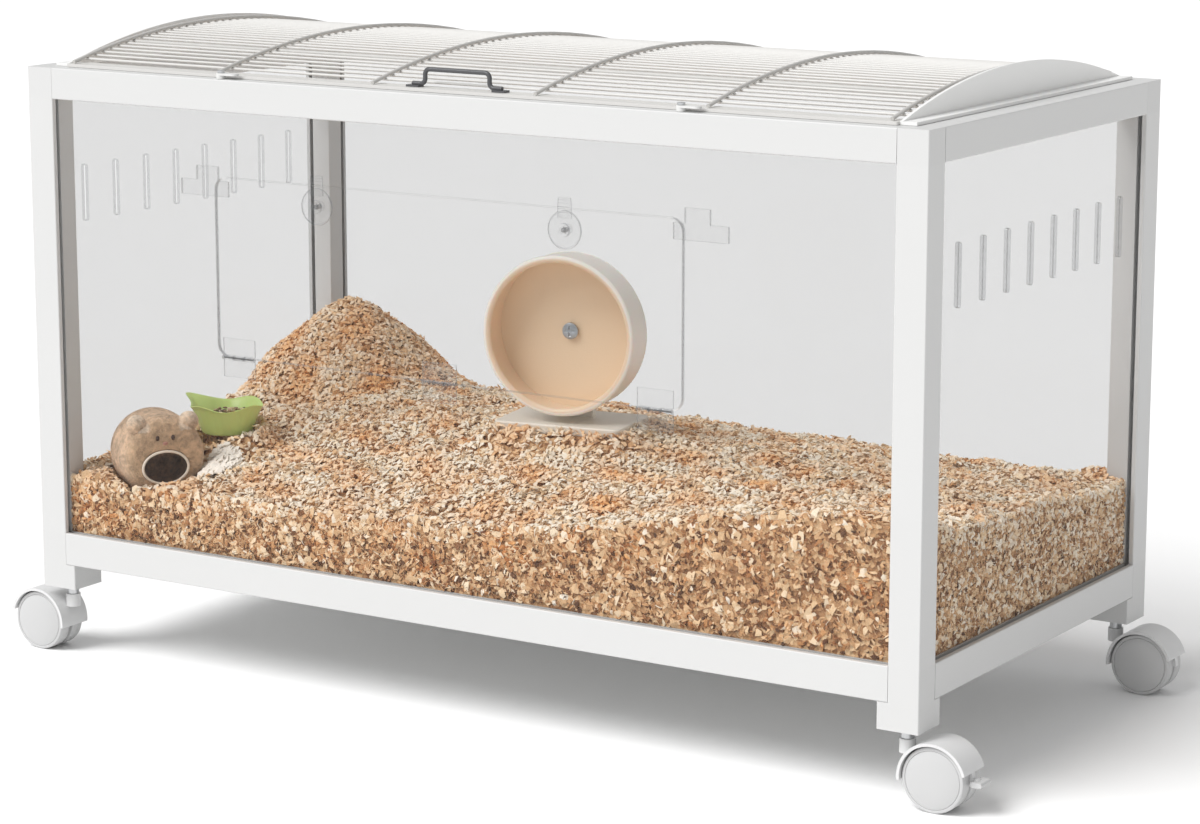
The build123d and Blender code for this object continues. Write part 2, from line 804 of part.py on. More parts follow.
def make_hood(corner):
    """The swivel: a hood round the wheels' rims, a web between them, the boss that turns
    on the stem, and the spindle that the wheels turn on. It trails away from the cage."""
    way = corner[0]
    stem_x, stem_y = caster_stem(corner)
    axle_x = stem_x + way * caster_trail
    side = Plane(origin=(axle_x, stem_y, wheel_radius), x_dir=(way, 0, 0), z_dir=(0, -way, 0))
    sweep_angle = hood_end_angle - hood_start_angle
    web_radius = hood_inner + hood_wall / 2
    with BuildPart() as hood:
        with BuildSketch(side):
            with BuildLine():
                CenterArc((0, 0), hood_outer, hood_start_angle, sweep_angle)
                CenterArc((0, 0), hood_inner, hood_start_angle, sweep_angle)
                Line(polar(hood_inner, hood_start_angle), polar(hood_outer, hood_start_angle))
                Line(polar(hood_inner, hood_end_angle), polar(hood_outer, hood_end_angle))
            make_face()
        extrude(amount=hood_half_width, both=True)
        with BuildSketch(side):
            with BuildLine():
                CenterArc((0, 0), web_radius, 0, 180)
                Line((-web_radius, 0), (web_radius, 0))
            make_face()
            Circle(wheel_radius / 2)
            if corner in brake_corners:
                with Locations((lever_pivot_offset / 2, 0)):
                    Rectangle(lever_pivot_offset, 2 * lever_web_radius)
                with Locations((lever_pivot_offset, 0)):
                    Circle(lever_web_radius)
                    Circle(lever_pin_radius + running_clearance, mode=Mode.SUBTRACT)
        extrude(amount=hood_web / 2, both=True)
        with BuildSketch(side):
            Circle(spindle_radius)
        extrude(amount=wheel_gap + spindle_length, both=True)
        with BuildSketch(Plane.XY.offset(stem_boss_bottom)):
            with Locations((stem_x, stem_y)):
                Circle(stem_boss_radius)
        extrude(amount=stem_boss_top - stem_boss_bottom)
        with BuildSketch(Plane.XY.offset(stem_boss_bottom)):
            with Locations((stem_x, stem_y)):
                Circle(stem_radius + running_clearance)
        extrude(amount=2 * (stem_boss_top - stem_boss_bottom), mode=Mode.SUBTRACT)
    return hood


def make_wheel_pair(corner):
    """Two wheels, one on each end of the spindle, closed on their outer faces."""
    stem_x, stem_y = caster_stem(corner)
    axle_x = stem_x + corner[0] * caster_trail
    with BuildPart() as wheels:
        for side in (-1, 1):
            inner_face = Plane(
                origin=(axle_x, stem_y + side * wheel_gap, wheel_radius),
                x_dir=(1, 0, 0),
                z_dir=(0, side, 0),
            )
            with BuildSketch(inner_face):
                Circle(wheel_radius)
            extrude(amount=wheel_tread)
        fillet(wheels.edges().filter_by(GeomType.CIRCLE), wheel_edge_radius)
        for side in (-1, 1):
            inner_face = Plane(
                origin=(axle_x, stem_y + side * wheel_gap, wheel_radius),
                x_dir=(1, 0, 0),
                z_dir=(0, side, 0),
            )
            with BuildSketch(inner_face):
                Circle(spindle_radius + running_clearance)
            extrude(amount=spindle_length + moving_gap, mode=Mode.SUBTRACT)
    return wheels


def make_brake_lever(corner):
    """A pedal that straddles the hood's web behind the wheels, on its own moulded pin."""
    way = corner[0]
    stem_x, stem_y = caster_stem(corner)
    axle_x = stem_x + way * caster_trail
    side = Plane(origin=(axle_x, stem_y, wheel_radius), x_dir=(way, 0, 0), z_dir=(0, -way, 0))
    near_end = lever_pivot_offset - lever_thickness / 2
    far_end = lever_pivot_offset + lever_length
    slot_end = lever_pivot_offset + lever_web_radius + lever_slot_gap
    with BuildPart() as lever:
        with BuildSketch(side):
            with Locations(((near_end + far_end) / 2, 0)):
                SlotOverall(far_end - near_end, lever_thickness)
        extrude(amount=lever_width / 2, both=True)
        with BuildSketch(side):
            with Locations((slot_end / 2, 0)):
                Rectangle(slot_end, 2 * lever_thickness)
        extrude(amount=hood_web / 2 + lever_slot_gap, both=True, mode=Mode.SUBTRACT)
        with BuildSketch(side):
            with Locations((lever_pivot_offset, 0)):
                Circle(lever_pin_radius)
        extrude(amount=hood_web / 2 + lever_slot_gap, both=True)
    return lever


for corner in corners:
    save(make_hood(corner), corner_names[corner] + "_caster_hood")
    save(make_wheel_pair(corner), corner_names[corner] + "_caster_wheels")
for corner in brake_corners:
    save(make_brake_lever(corner), corner_names[corner] + "_brake_lever")


# ======== bedding fill ========

bed_x = half_length - panel_setback - panel_thickness - bedding_clearance
bed_y = panel_back - bedding_clearance
bed_bottom = bottom_rail_top + floor_clearance
front_shelf_top = bottom_rail_top + front_shelf_fill
back_shelf_top = bottom_rail_top + back_shelf_fill
ramp_foot_top = bottom_rail_top + ramp_foot_fill
main_top = bottom_rail_top + main_fill
mound_top = bottom_rail_top + mound_fill
shelf_end = shelf_length - half_length
ramp_end = shelf_end + ramp_length
shelf_step_y = front_shelf_depth - half_depth


def add_fill(low_x, high_x, low_y, high_y, low_x_top, high_x_top):
    """A block of the fill with a top that slopes along the cage."""
    with BuildSketch(Plane.XZ.offset(-high_y)) as section:
        with BuildLine():
            Polyline(
                (low_x, bed_bottom),
                (high_x, bed_bottom),
                (high_x, high_x_top),
                (low_x, low_x_top),
                close=True,
            )
        make_face()
    extrude(section.sketch, amount=high_y - low_y)


with BuildPart() as bedding:
    add_fill(-bed_x, shelf_end, -bed_y, shelf_step_y, front_shelf_top, front_shelf_top)
    add_fill(-bed_x, shelf_end, shelf_step_y, bed_y, back_shelf_top, back_shelf_top)
    add_fill(shelf_end, ramp_end, -bed_y, bed_y, ramp_foot_top, main_top)
    add_fill(ramp_end, bed_x, -bed_y, bed_y, main_top, main_top)
    with BuildSketch(Plane.XY.offset(back_shelf_top)):
        with Locations((-bed_x + mound_length / 2, bed_y - mound_depth / 2)):
            Rectangle(mound_length, mound_depth)
    with BuildSketch(Plane.XY.offset(mound_top)):
        with Locations((-bed_x + mound_length / 2, bed_y - mound_depth / 2)):
            Rectangle(mound_crest, mound_crest)
    loft()
    # the posts stand further in than the panels, so the fill goes round them
    post_reach = post_width + bedding_clearance
    for side_x, side_y in corners:
        notch_x = side_x * (half_length - post_reach / 2)
        notch_y = side_y * (half_depth - post_reach / 2)
        with BuildSketch(Plane.XY.offset(bed_bottom)):
            with Locations((notch_x, notch_y)):
                Rectangle(post_reach, post_reach)
        extrude(amount=mound_top - bed_bottom, mode=Mode.SUBTRACT)
save(bedding, "bedding")


# ======== exercise wheel ========

base_bottom = main_top + bedding_clearance
base_top = base_bottom + base_thickness
drum_centre_x = ramp_end + drum_past_ramp
drum_front_y = drum_setback - half_depth
drum_height = base_top + drum_ground_gap + drum_radius


def drum_plane(back):
    """A plane across the drum's axis, this far behind its front lip, facing forwards."""
    middle = (drum_centre_x, drum_front_y, drum_height)
    front = Plane(origin=middle, x_dir=(1, 0, 0), z_dir=(0, -1, 0))
    return front.rotated((0, 0, drum_turn)).offset(-back)


with BuildPart() as wheel_drum:
    with BuildSketch(drum_plane(drum_depth)):
        Circle(drum_radius - drum_lip / 2)
        Circle(drum_radius - drum_wall, mode=Mode.SUBTRACT)
    extrude(amount=drum_depth)
    with BuildSketch(drum_plane(drum_lip)):
        Circle(drum_radius)
        Circle(drum_radius - drum_wall, mode=Mode.SUBTRACT)
    extrude(amount=drum_lip)
save(wheel_drum, "wheel_drum")

with BuildPart() as wheel_back_disc:
    with BuildSketch(drum_plane(drum_depth)):
        Circle(drum_radius - drum_wall)
    extrude(amount=disc_thickness)
    with BuildSketch(drum_plane(drum_depth + hub_length)):
        Circle(hub_radius)
    extrude(amount=hub_length)
    with BuildSketch(drum_plane(drum_depth + hub_length)):
        Circle(axle_radius + running_clearance)
    extrude(amount=hub_length + disc_thickness, mode=Mode.SUBTRACT)
save(wheel_back_disc, "wheel_back_disc")

stand_front = drum_depth + hub_length + stand_gap
stand_back = stand_front + stand_thickness
with BuildPart() as wheel_axle:
    with BuildSketch(drum_plane(stand_back)):
        Circle(axle_radius)
    extrude(amount=stand_back - drum_depth + disc_thickness + bedding_clearance)
    with BuildSketch(drum_plane(drum_depth - disc_thickness - bedding_clearance)):
        Circle(axle_head_radius)
    extrude(amount=axle_head_thickness)
save(wheel_axle, "wheel_axle")

with BuildPart() as wheel_stand:
    with BuildSketch(drum_plane(stand_back)):
        Circle(stand_width / 2)
        with Locations((0, (base_top - drum_height) / 2)):
            Rectangle(stand_width, drum_height - base_top)
        Circle(axle_radius, mode=Mode.SUBTRACT)
    extrude(amount=stand_thickness)
save(wheel_stand, "wheel_stand")

base_origin = (drum_centre_x, drum_front_y, base_bottom)
base_plane = Plane(origin=base_origin, x_dir=(1, 0, 0), z_dir=(0, 0, 1)).rotated((0, 0, drum_turn))
with BuildPart() as wheel_base:
    with BuildSketch(base_plane):
        with Locations((0, base_depth / 2 - base_overhang)):
            RectangleRounded(base_length, base_depth, base_corner_radius)
    extrude(amount=base_thickness)
    fillet(wheel_base.faces().sort_by(Axis.Z)[-1].edges(), base_edge_radius)
save(wheel_base, "wheel_base")


# ======== hideout hut and food bowl ========

hut_floor = front_shelf_top + bedding_clearance
hut_centre_x = hut_from_end - half_length
hut_centre_y = hut_from_front - half_depth


def hut_plane(forward):
    """A plane across the hut's axis, this far in front of its middle, facing the doorway."""
    middle = (hut_centre_x, hut_centre_y, hut_floor + hut_axis_height)
    front = Plane(origin=middle, x_dir=(1, 0, 0), z_dir=(0, -1, 0))
    return front.rotated((0, 0, hut_turn)).offset(forward)


# a padded drum on its side, flat underneath, with a round hollow behind the doorway
with BuildPart() as hideout_hut:
    with BuildSketch(hut_plane(-hut_length / 2)):
        Circle(hut_radius)
    extrude(amount=hut_length)
    hut_axis = Axis(hut_plane(0).origin, hut_plane(0).z_dir)
    hut_ends = hideout_hut.faces().filter_by(GeomType.PLANE).sort_by(hut_axis)
    fillet(hut_ends[0].edges(), hut_back_fillet)
    fillet(hut_ends[-1].edges(), hut_front_fillet)
    split(bisect_by=Plane.XY.offset(hut_floor), keep=Keep.TOP)
    with Locations(hut_plane(hut_length / 2 - hut_front_fillet)):
        with Locations((-ear_spread, ear_rise), (ear_spread, ear_rise)):
            Sphere(ear_radius)
    with BuildPart(mode=Mode.SUBTRACT):
        with BuildSketch(hut_plane(hut_back_wall - hut_length / 2)):
            Circle(hut_radius - hut_wall)
        extrude(amount=hut_length - hut_back_wall - hut_floor_wall)
        split(bisect_by=Plane.XY.offset(hut_floor + hut_floor_wall), keep=Keep.TOP)
    with BuildSketch(hut_plane(0)):
        with Locations((0, -hut_door_drop)):
            Ellipse(hut_door_width / 2, hut_door_height / 2)
    extrude(amount=hut_length, mode=Mode.SUBTRACT)
save(hideout_hut, "hideout_hut")

bowl_centre_x = bowl_from_end - half_length
bowl_centre_y = bowl_from_front - half_depth
with BuildPart() as food_bowl:
    bowl_floor = back_shelf_top + bedding_clearance
    bowl_foot = (bowl_centre_x, bowl_centre_y, bowl_floor)
    with BuildSketch(Plane(origin=bowl_foot, x_dir=(1, 0, 0), z_dir=(0, -1, 0))):
        with BuildLine():
            Polyline(
                (0, 0),
                (bowl_foot_radius, 0),
                (bowl_rim_radius, bowl_height),
                (bowl_rim_radius - bowl_wall, bowl_height),
                (bowl_foot_radius - bowl_wall, bowl_wall),
                (0, bowl_wall),
                close=True,
            )
        make_face()
    revolve(axis=Axis((bowl_centre_x, bowl_centre_y, 0), (0, 0, 1)))
    spout_z = bowl_floor + bowl_height - bowl_wall
    with BuildSketch(Plane.XY.offset(spout_z)):
        spout_root = bowl_centre_x - bowl_rim_radius + bowl_wall
        with BuildLine():
            Polyline(
                (spout_root, bowl_centre_y - spout_width / 2),
                (bowl_centre_x - bowl_rim_radius - spout_reach, bowl_centre_y),
                (spout_root, bowl_centre_y + spout_width / 2),
                close=True,
            )
        make_face()
    extrude(amount=bowl_wall)
save(food_bowl, "food_bowl")
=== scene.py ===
import math

import bpy
import numpy as np
from mathutils import Matrix, Vector


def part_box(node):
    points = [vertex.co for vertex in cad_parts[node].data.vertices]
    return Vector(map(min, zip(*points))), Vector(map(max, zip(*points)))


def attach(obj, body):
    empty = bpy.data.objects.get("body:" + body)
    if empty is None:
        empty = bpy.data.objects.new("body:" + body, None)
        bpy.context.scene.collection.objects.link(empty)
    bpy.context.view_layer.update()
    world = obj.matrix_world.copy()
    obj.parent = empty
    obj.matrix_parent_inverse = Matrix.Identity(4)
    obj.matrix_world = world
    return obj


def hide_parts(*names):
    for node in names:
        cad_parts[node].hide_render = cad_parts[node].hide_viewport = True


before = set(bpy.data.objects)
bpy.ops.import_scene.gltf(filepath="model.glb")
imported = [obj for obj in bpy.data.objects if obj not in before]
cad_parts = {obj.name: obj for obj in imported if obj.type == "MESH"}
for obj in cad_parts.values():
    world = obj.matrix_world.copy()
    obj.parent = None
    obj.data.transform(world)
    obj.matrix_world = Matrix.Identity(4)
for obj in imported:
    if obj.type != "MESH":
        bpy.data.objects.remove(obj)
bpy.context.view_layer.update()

# ======== camera, floor and light ========
# A long lens at the cage's front right, a little above it. The floor is pale card.
# A wide soft lamp stands at the front left, and the room's own light fills the rest.

camera_azimuth = math.radians(32.3)
camera_elevation = math.radians(11.42)
camera_distance = 3.456
aim_height = 0.335
aim_right = 0.0154
aim_drop = 0.071
lens_length = 104.8

flat_reach = math.cos(camera_elevation)
view_back = Vector(
    (
        math.sin(camera_azimuth) * flat_reach,
        -math.cos(camera_azimuth) * flat_reach,
        math.sin(camera_elevation),
    )
)
view_right = Vector((math.cos(camera_azimuth), math.sin(camera_azimuth), 0))
view_up = view_back.cross(view_right)
camera = bpy.data.objects.new("camera", bpy.data.cameras.new("camera"))
bpy.context.scene.collection.objects.link(camera)
camera.matrix_world = Matrix((view_right, view_up, view_back)).transposed().to_4x4()
camera.location = (
    Vector((0, 0, aim_height))
    + camera_distance * view_back
    + aim_right * view_right
    - aim_drop * view_up
)
camera.data.lens = lens_length
camera.data.sensor_width = 36
camera.data.clip_end = 200
bpy.context.scene.camera = camera
bpy.context.scene.view_settings.view_transform = "Standard"


def add_node(tree, kind, inputs=None, **settings):
    """Adds a node. inputs gives each socket a value, or another node's socket to join."""
    made = tree.nodes.new(kind)
    for name, value in settings.items():
        setattr(made, name, value)
    for name, value in (inputs or {}).items():
        if isinstance(value, bpy.types.NodeSocket):
            tree.links.new(value, made.inputs[name])
        else:
            made.inputs[name].default_value = value
    return made


def start_material(name, **shader):
    """A new material, with constants for its Principled shader, named as on the sockets."""
    material = bpy.data.materials.new(name)
    material.use_nodes = True
    principled = material.node_tree.nodes["Principled BSDF"]
    for socket, value in shader.items():
        principled.inputs[socket.replace("_", " ")].default_value = value
    return material, material.node_tree, principled


floor_size = 120.0
bpy.ops.object.select_all(action="DESELECT")
bpy.ops.mesh.primitive_plane_add(size=floor_size)
floor = bpy.context.object
floor.name = "pale_floor"
card, tree, shader = start_material("floor_card", Roughness=0.9)
shader.inputs["Base Color"].default_value = (0.97, 0.97, 0.97, 1)
floor.data.materials.append(card)

lamp_way = Vector((-0.30, -0.60, 0.74)).normalized()
lamp_spread = math.radians(35)
lamp_strength = 2.85
lamp = bpy.data.objects.new("soft_lamp", bpy.data.lights.new("soft_lamp", "SUN"))
lamp.data.energy = lamp_strength
lamp.data.angle = lamp_spread
lamp.rotation_euler = lamp_way.to_track_quat("Z", "Y").to_euler()
bpy.context.scene.collection.objects.link(lamp)

room_light = 0.50
studio = bpy.data.worlds.new("studio")
studio.use_nodes = True
bpy.context.scene.world = studio
studio.node_tree.nodes["Background"].inputs["Color"].default_value = (1, 1, 1, 1)
studio.node_tree.nodes["Background"].inputs["Strength"].default_value = room_light

# ======== white tube frame ========
# Extruded tube with plastic corner blocks and feet, all in the same matt white. The
# powder coat has a fine orange-peel texture, and handling leaves it a little uneven.


def make_surface_group(name):
    """Object coordinates in metres give a fine grain and large soft smudges."""
    group = bpy.data.node_groups.new(name, "ShaderNodeTree")
    sockets = group.interface
    for socket, kind in (("Colour", "Color"), ("Grain Scale", "Float"), ("Smudge", "Float")):
        sockets.new_socket(socket, in_out="INPUT", socket_type="NodeSocket" + kind)
    sockets.new_socket("Roughness", in_out="INPUT", socket_type="NodeSocketFloat")
    for socket, kind in (("Colour", "Color"), ("Roughness", "Float"), ("Height", "Float")):
        sockets.new_socket(socket, in_out="OUTPUT", socket_type="NodeSocket" + kind)
    given = group.nodes.new("NodeGroupInput").outputs
    result = group.nodes.new("NodeGroupOutput").inputs
    where = add_node(group, "ShaderNodeTexCoord").outputs["Object"]
    grain = add_node(
        group,
        "ShaderNodeTexNoise",
        {"Vector": where, "Scale": given["Grain Scale"], "Detail": 2.0},
    ).outputs["Fac"]
    smudge = add_node(
        group,
        "ShaderNodeTexNoise",
        {"Vector": where, "Scale": 7.0, "Detail": 4.0, "Roughness": 0.55},
    ).outputs["Fac"]
    centred = add_node(group, "ShaderNodeMath", {0: smudge, 1: 0.5}, operation="SUBTRACT")
    amount = add_node(
        group, "ShaderNodeMath", {0: centred.outputs[0], 1: given["Smudge"]}, operation="MULTIPLY"
    ).outputs[0]
    level = add_node(group, "ShaderNodeMath", {0: amount, 1: 1.0}, operation="ADD").outputs[0]
    tinted = add_node(
        group,
        "ShaderNodeVectorMath",
        {0: given["Colour"], "Scale": level},
        operation="SCALE",
    ).outputs["Vector"]
    rough = add_node(
        group, "ShaderNodeMath", {0: given["Roughness"], 1: amount}, operation="ADD"
    ).outputs[0]
    group.links.new(tinted, result["Colour"])
    group.links.new(rough, result["Roughness"])
    group.links.new(grain, result["Height"])
    return group


moulded_surface = make_surface_group("moulded_surface")


def make_coat(name, colour, roughness, grain_scale, grain_depth, smudge, **shader):
    """A material with the surface group's colour, roughness and grain."""
    material, tree, principled = start_material(name, **shader)
    group = add_node(tree, "ShaderNodeGroup", node_tree=moulded_surface)
    group.inputs["Colour"].default_value = (*colour, 1)
    group.inputs["Grain Scale"].default_value = grain_scale
    group.inputs["Smudge"].default_value = smudge
    group.inputs["Roughness"].default_value = roughness
    bump = add_node(
        tree, "ShaderNodeBump", {"Height": group.outputs["Height"], "Distance": grain_depth}
    )
    tree.links.new(group.outputs["Colour"], principled.inputs["Base Color"])
    tree.links.new(group.outputs["Roughness"], principled.inputs["Roughness"])
    tree.links.new(bump.outputs["Normal"], principled.inputs["Normal"])
    return material


def coat_nodes(material, *names):
    """Gives these CAD nodes their finish."""
    for name in names:
        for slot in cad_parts[name].material_slots:
            slot.material = material


corner_names = ("front_left", "front_right", "back_left", "back_right")
side_names = ("front", "back", "left", "right")
powder_coat = make_coat("white_powder_coat", (0.63, 0.63, 0.625), 0.42, 900, 0.00006, 0.03)
corner_plastic = make_coat("white_corner_plastic", (0.625, 0.625, 0.62), 0.48, 1500, 0.00004, 0.03)
coat_nodes(powder_coat, *(corner + "_post" for corner in corner_names))
coat_nodes(powder_coat, *(side + "_top_rail" for side in side_names))
coat_nodes(powder_coat, *(side + "_bottom_rail" for side in side_names))
coat_nodes(corner_plastic, "top_corner_blocks", "corner_feet")

floor_sheet = make_coat("white_floor_sheet", (0.74, 0.74, 0.73), 0.5, 700, 0.00005, 0.05)
coat_nodes(floor_sheet, "floor_panel")

# ======== clear panels ========
# Cast acrylic sheet, 4 mm thick and faintly smoky. The back and left sheets are drawn smokier
# still, a painted shade that greys the view through the cage. Its polished edges gather
# light, so they show as lines. The end sheets have vent slots.


def make_acrylic(name, colour, face_alpha, edge_alpha, edge_colour, face_axis):
    """Clear sheet whose faces look along face_axis, with more visible edges."""
    material, tree, principled = start_material(name, Roughness=0.06, IOR=1.49)
    normal = add_node(tree, "ShaderNodeTexCoord").outputs["Normal"]
    split = add_node(tree, "ShaderNodeSeparateXYZ", {"Vector": normal})
    across = add_node(
        tree, "ShaderNodeMath", {0: split.outputs[face_axis]}, operation="ABSOLUTE"
    ).outputs[0]
    on_edge = add_node(
        tree, "ShaderNodeMath", {0: across, 1: 0.7}, operation="LESS_THAN"
    ).outputs[0]
    alpha = add_node(
        tree,
        "ShaderNodeMapRange",
        {"Value": on_edge, "To Min": face_alpha, "To Max": edge_alpha},
    ).outputs["Result"]
    tint = add_node(
        tree,
        "ShaderNodeMix",
        {"Factor": on_edge},
        data_type="RGBA",
    )
    tint.inputs[6].default_value = (*colour, 1)
    tint.inputs[7].default_value = (*edge_colour, 1)
    tree.links.new(tint.outputs[2], principled.inputs["Base Color"])
    tree.links.new(alpha, principled.inputs["Alpha"])
    return material


sheet_grey = (0.08, 0.08, 0.08)
edge_grey = (0.30, 0.31, 0.32)
front_acrylic = make_acrylic("clear_front_sheet", sheet_grey, 0.082, 0.42, edge_grey, "Y")
# the back and left sheets are smokier: painted shade that greys the view through the cage
back_acrylic = make_acrylic("clear_back_sheet", sheet_grey, 0.135, 0.42, edge_grey, "Y")
right_acrylic = make_acrylic("clear_right_sheet", sheet_grey, 0.082, 0.42, edge_grey, "X")
left_acrylic = make_acrylic("clear_left_sheet", sheet_grey, 0.135, 0.42, edge_grey, "X")
coat_nodes(front_acrylic, "front_panel", "door_panel")
coat_nodes(back_acrylic, "back_panel")
coat_nodes(right_acrylic, "right_panel")
coat_nodes(left_acrylic, "left_panel")

# ======== door fittings ========
# Clear moulded butt hinges, corner stops and round turn latches. Each latch is a stepped
# disc with a ridged grip tab, and turns on a pivot through the front sheet.

fitting_clear = make_acrylic("clear_fittings", (0.40, 0.40, 0.40), 0.08, 0.42, edge_grey, "Y")
coat_nodes(
    fitting_clear,
    "door_hinge_door_leaves",
    "door_hinge_panel_leaves",
    "door_hinge_pins",
    "door_corner_stops",
    "door_latch_pivots",
)


def pick(piece, kind, wanted):
    """Leaves the piece in edit mode with only the wanted vertices, edges or faces chosen."""
    bpy.context.view_layer.objects.active = piece
    bpy.ops.object.mode_set(mode="EDIT")
    bpy.ops.mesh.select_mode(type=kind)
    bpy.ops.mesh.select_all(action="DESELECT")
    bpy.ops.object.mode_set(mode="OBJECT")
    kinds = {"VERT": "vertices", "EDGE": "edges", "FACE": "polygons"}
    for part in getattr(piece.data, kinds[kind]):
        part.select = bool(wanted(part))
    bpy.ops.object.mode_set(mode="EDIT")


def close_below(piece, floor_z):
    """Draws the open edge of a surface straight down and closes it underneath."""
    pick(piece, "FACE", lambda face: True)
    bpy.ops.mesh.region_to_loop()
    bpy.ops.mesh.extrude_region_move()
    bpy.ops.transform.resize(value=(1, 1, 0), center_override=(0, 0, floor_z))
    bpy.ops.mesh.edge_face_add()
    bpy.ops.mesh.select_all(action="SELECT")
    bpy.ops.mesh.normals_make_consistent(inside=False)
    bpy.ops.object.mode_set(mode="OBJECT")


def turn_profile(name, profile, sides, on_axis=False):
    """A piece turned round the Z axis from the (radius, height) points of its section.
    A section that is on_axis starts and ends there. Otherwise it makes a ring."""
    bpy.ops.object.select_all(action="DESELECT")
    bpy.ops.mesh.primitive_circle_add(vertices=len(profile), fill_type="NOTHING")
    piece = bpy.context.object
    piece.name = name
    for point, (radius, height) in zip(piece.data.vertices, profile):
        point.co = (radius, 0, height)
    if on_axis:
        ends = {0, len(profile) - 1}
        pick(piece, "EDGE", lambda edge: set(edge.vertices) == ends)
        bpy.ops.mesh.delete(type="EDGE_FACE")
        bpy.ops.object.mode_set(mode="OBJECT")
    turning = piece.modifiers.new("turning", "SCREW")
    turning.axis = "Z"
    turning.steps = sides
    turning.render_steps = sides
    turning.use_merge_vertices = True
    turning.merge_threshold = 1e-6
    bpy.ops.object.modifier_apply(modifier=turning.name)
    bpy.ops.object.mode_set(mode="EDIT")
    bpy.ops.mesh.select_all(action="SELECT")
    bpy.ops.mesh.remove_doubles(threshold=1e-6)
    bpy.ops.mesh.normals_make_consistent(inside=False)
    bpy.ops.object.mode_set(mode="OBJECT")
    bpy.ops.object.shade_smooth_by_angle(angle=math.radians(35))
    return piece


def copy_piece(piece, name, place):
    """A copy of a piece, with a mesh of its own, moved by the matrix place."""
    copy = bpy.data.objects.new(name, piece.data.copy())
    bpy.context.scene.collection.objects.link(copy)
    copy.data.transform(place)
    return copy


def join_pieces(name, *pieces):
    """Makes one piece of several."""
    bpy.ops.object.select_all(action="DESELECT")
    for piece in pieces:
        piece.select_set(True)
    bpy.context.view_layer.objects.active = pieces[0]
    bpy.ops.object.join()
    pieces[0].name = name
    return pieces[0]


latch_radius = 0.018
latch_hole = 0.0023
# the section from the hole outwards: a rim bead, a ring half way in, and a raised boss
latch_section = (
    (latch_hole, 0.0),
    (latch_radius, 0.0),
    (latch_radius, 0.0014),
    (0.0175, 0.0022),
    (0.0168, 0.0022),
    (0.0162, 0.0015),
    (0.0114, 0.0015),
    (0.0108, 0.0021),
    (0.0101, 0.0021),
    (0.0095, 0.0015),
    (0.0066, 0.0015),
    (0.0058, 0.0034),
    (0.0048, 0.0036),
    (latch_hole, 0.0036),
)
latch_disc = turn_profile("latch_disc", latch_section, 64)

tab_width = 0.0145
tab_length = 0.019
tab_thickness = 0.0016
ridge_rise = 0.0012
ridge_places = (0.0163, 0.0132, 0.0101)
ridge_half_width = 0.0008
bpy.ops.object.select_all(action="DESELECT")
bpy.ops.mesh.primitive_grid_add(x_subdivisions=8, y_subdivisions=76, size=1)
latch_tab = bpy.context.object
for point in latch_tab.data.vertices:
    along = (point.co.y + 0.5) * tab_length
    on_ridge = min(abs(along - place) for place in ridge_places) < ridge_half_width
    narrowing = 1 - 0.10 * (along / tab_length) ** 6
    point.co.z = tab_thickness + (ridge_rise if on_ridge and abs(point.co.x) < 0.45 else 0)
    point.co.x *= tab_width * narrowing
    point.co.y = along
close_below(latch_tab, 0)
softened = latch_tab.modifiers.new("softened", "BEVEL")
softened.width = 0.0002
softened.segments = 1
softened.limit_method = "ANGLE"
bpy.ops.object.modifier_apply(modifier=softened.name)

tab_root = 0.0105
facing_front = Matrix.Rotation(math.pi / 2, 4, "X")
for side in ("left", "right"):
    latch_low, latch_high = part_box(side + "_door_latch")
    hub = Matrix.Translation(
        ((latch_low.x + latch_high.x) / 2, latch_high.y, latch_low.z + latch_radius)
    )
    disc = copy_piece(latch_disc, side + "_disc", hub @ facing_front)
    tab_place = hub @ facing_front @ Matrix.Translation((0, tab_root, 0))
    tab = copy_piece(latch_tab, side + "_tab", tab_place)
    latch = join_pieces(side + "_turn_latch", disc, tab)
    latch.data.materials.append(fitting_clear)
    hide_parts(side + "_door_latch")
    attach(latch, side + "_latch")
for shape in (latch_disc, latch_tab):
    bpy.data.objects.remove(shape)

# ======== wire lid ========
# Spot-welded round wire with sheet end caps, all coated white. The cross ribs and the
# one thicker rod are a soft grey, and the bent handle is dark.

wire_coat = make_coat("white_wire_coat", (0.66, 0.65, 0.63), 0.38, 700, 0.00005, 0.05)
rib_coat = make_coat("grey_rib_coat", (0.54, 0.53, 0.51), 0.4, 700, 0.00005, 0.08)
handle_coat = make_coat("dark_handle_coat", (0.085, 0.085, 0.09), 0.35, 700, 0.00005, 0.1)
tab_coat = make_coat("white_tab_coat", (0.70, 0.70, 0.69), 0.4, 900, 0.00005, 0.05)
plated_steel = make_coat("zinc_plating", (0.6, 0.61, 0.62), 0.32, 1800, 0.00003, 0.2, Metallic=1.0)
coat_nodes(wire_coat, "lid_wires", "lid_front_bar", "lid_back_bar")
# the end caps take a paler copy of the white coat: painted light that lifts the shade on their
# inner faces
lit_cap_coat = make_coat("white_cap_coat", (0.84, 0.84, 0.83), 0.42, 900, 0.00005, 0.04)
coat_nodes(lit_cap_coat, "lid_left_end_cap", "lid_right_end_cap")
coat_nodes(rib_coat, "lid_ribs")
coat_nodes(handle_coat, "lid_handle")
coat_nodes(tab_coat, "left_turn_tab", "right_turn_tab")
coat_nodes(
    plated_steel,
    "lid_hinge_lid_leaves",
    "lid_hinge_rail_leaves",
    "lid_hinge_pins",
    "turn_tab_screws",
    "caster_stems",
    "wheel_axle",
)

# ======== casters ========
# White nylon hoods over pairs of light grey nylon wheels with smooth domed faces. Two
# casters have a brake pedal.

hood_nylon = make_coat("white_nylon", (0.70, 0.70, 0.70), 0.3, 1200, 0.00002, 0.03)
wheel_nylon = make_coat("grey_nylon", (0.55, 0.55, 0.55), 0.38, 1200, 0.00003, 0.08)
coat_nodes(hood_nylon, *(corner + "_caster_hood" for corner in corner_names))
coat_nodes(wheel_nylon, "front_right_brake_lever", "back_left_brake_lever")

wheel_half_gap = 0.002
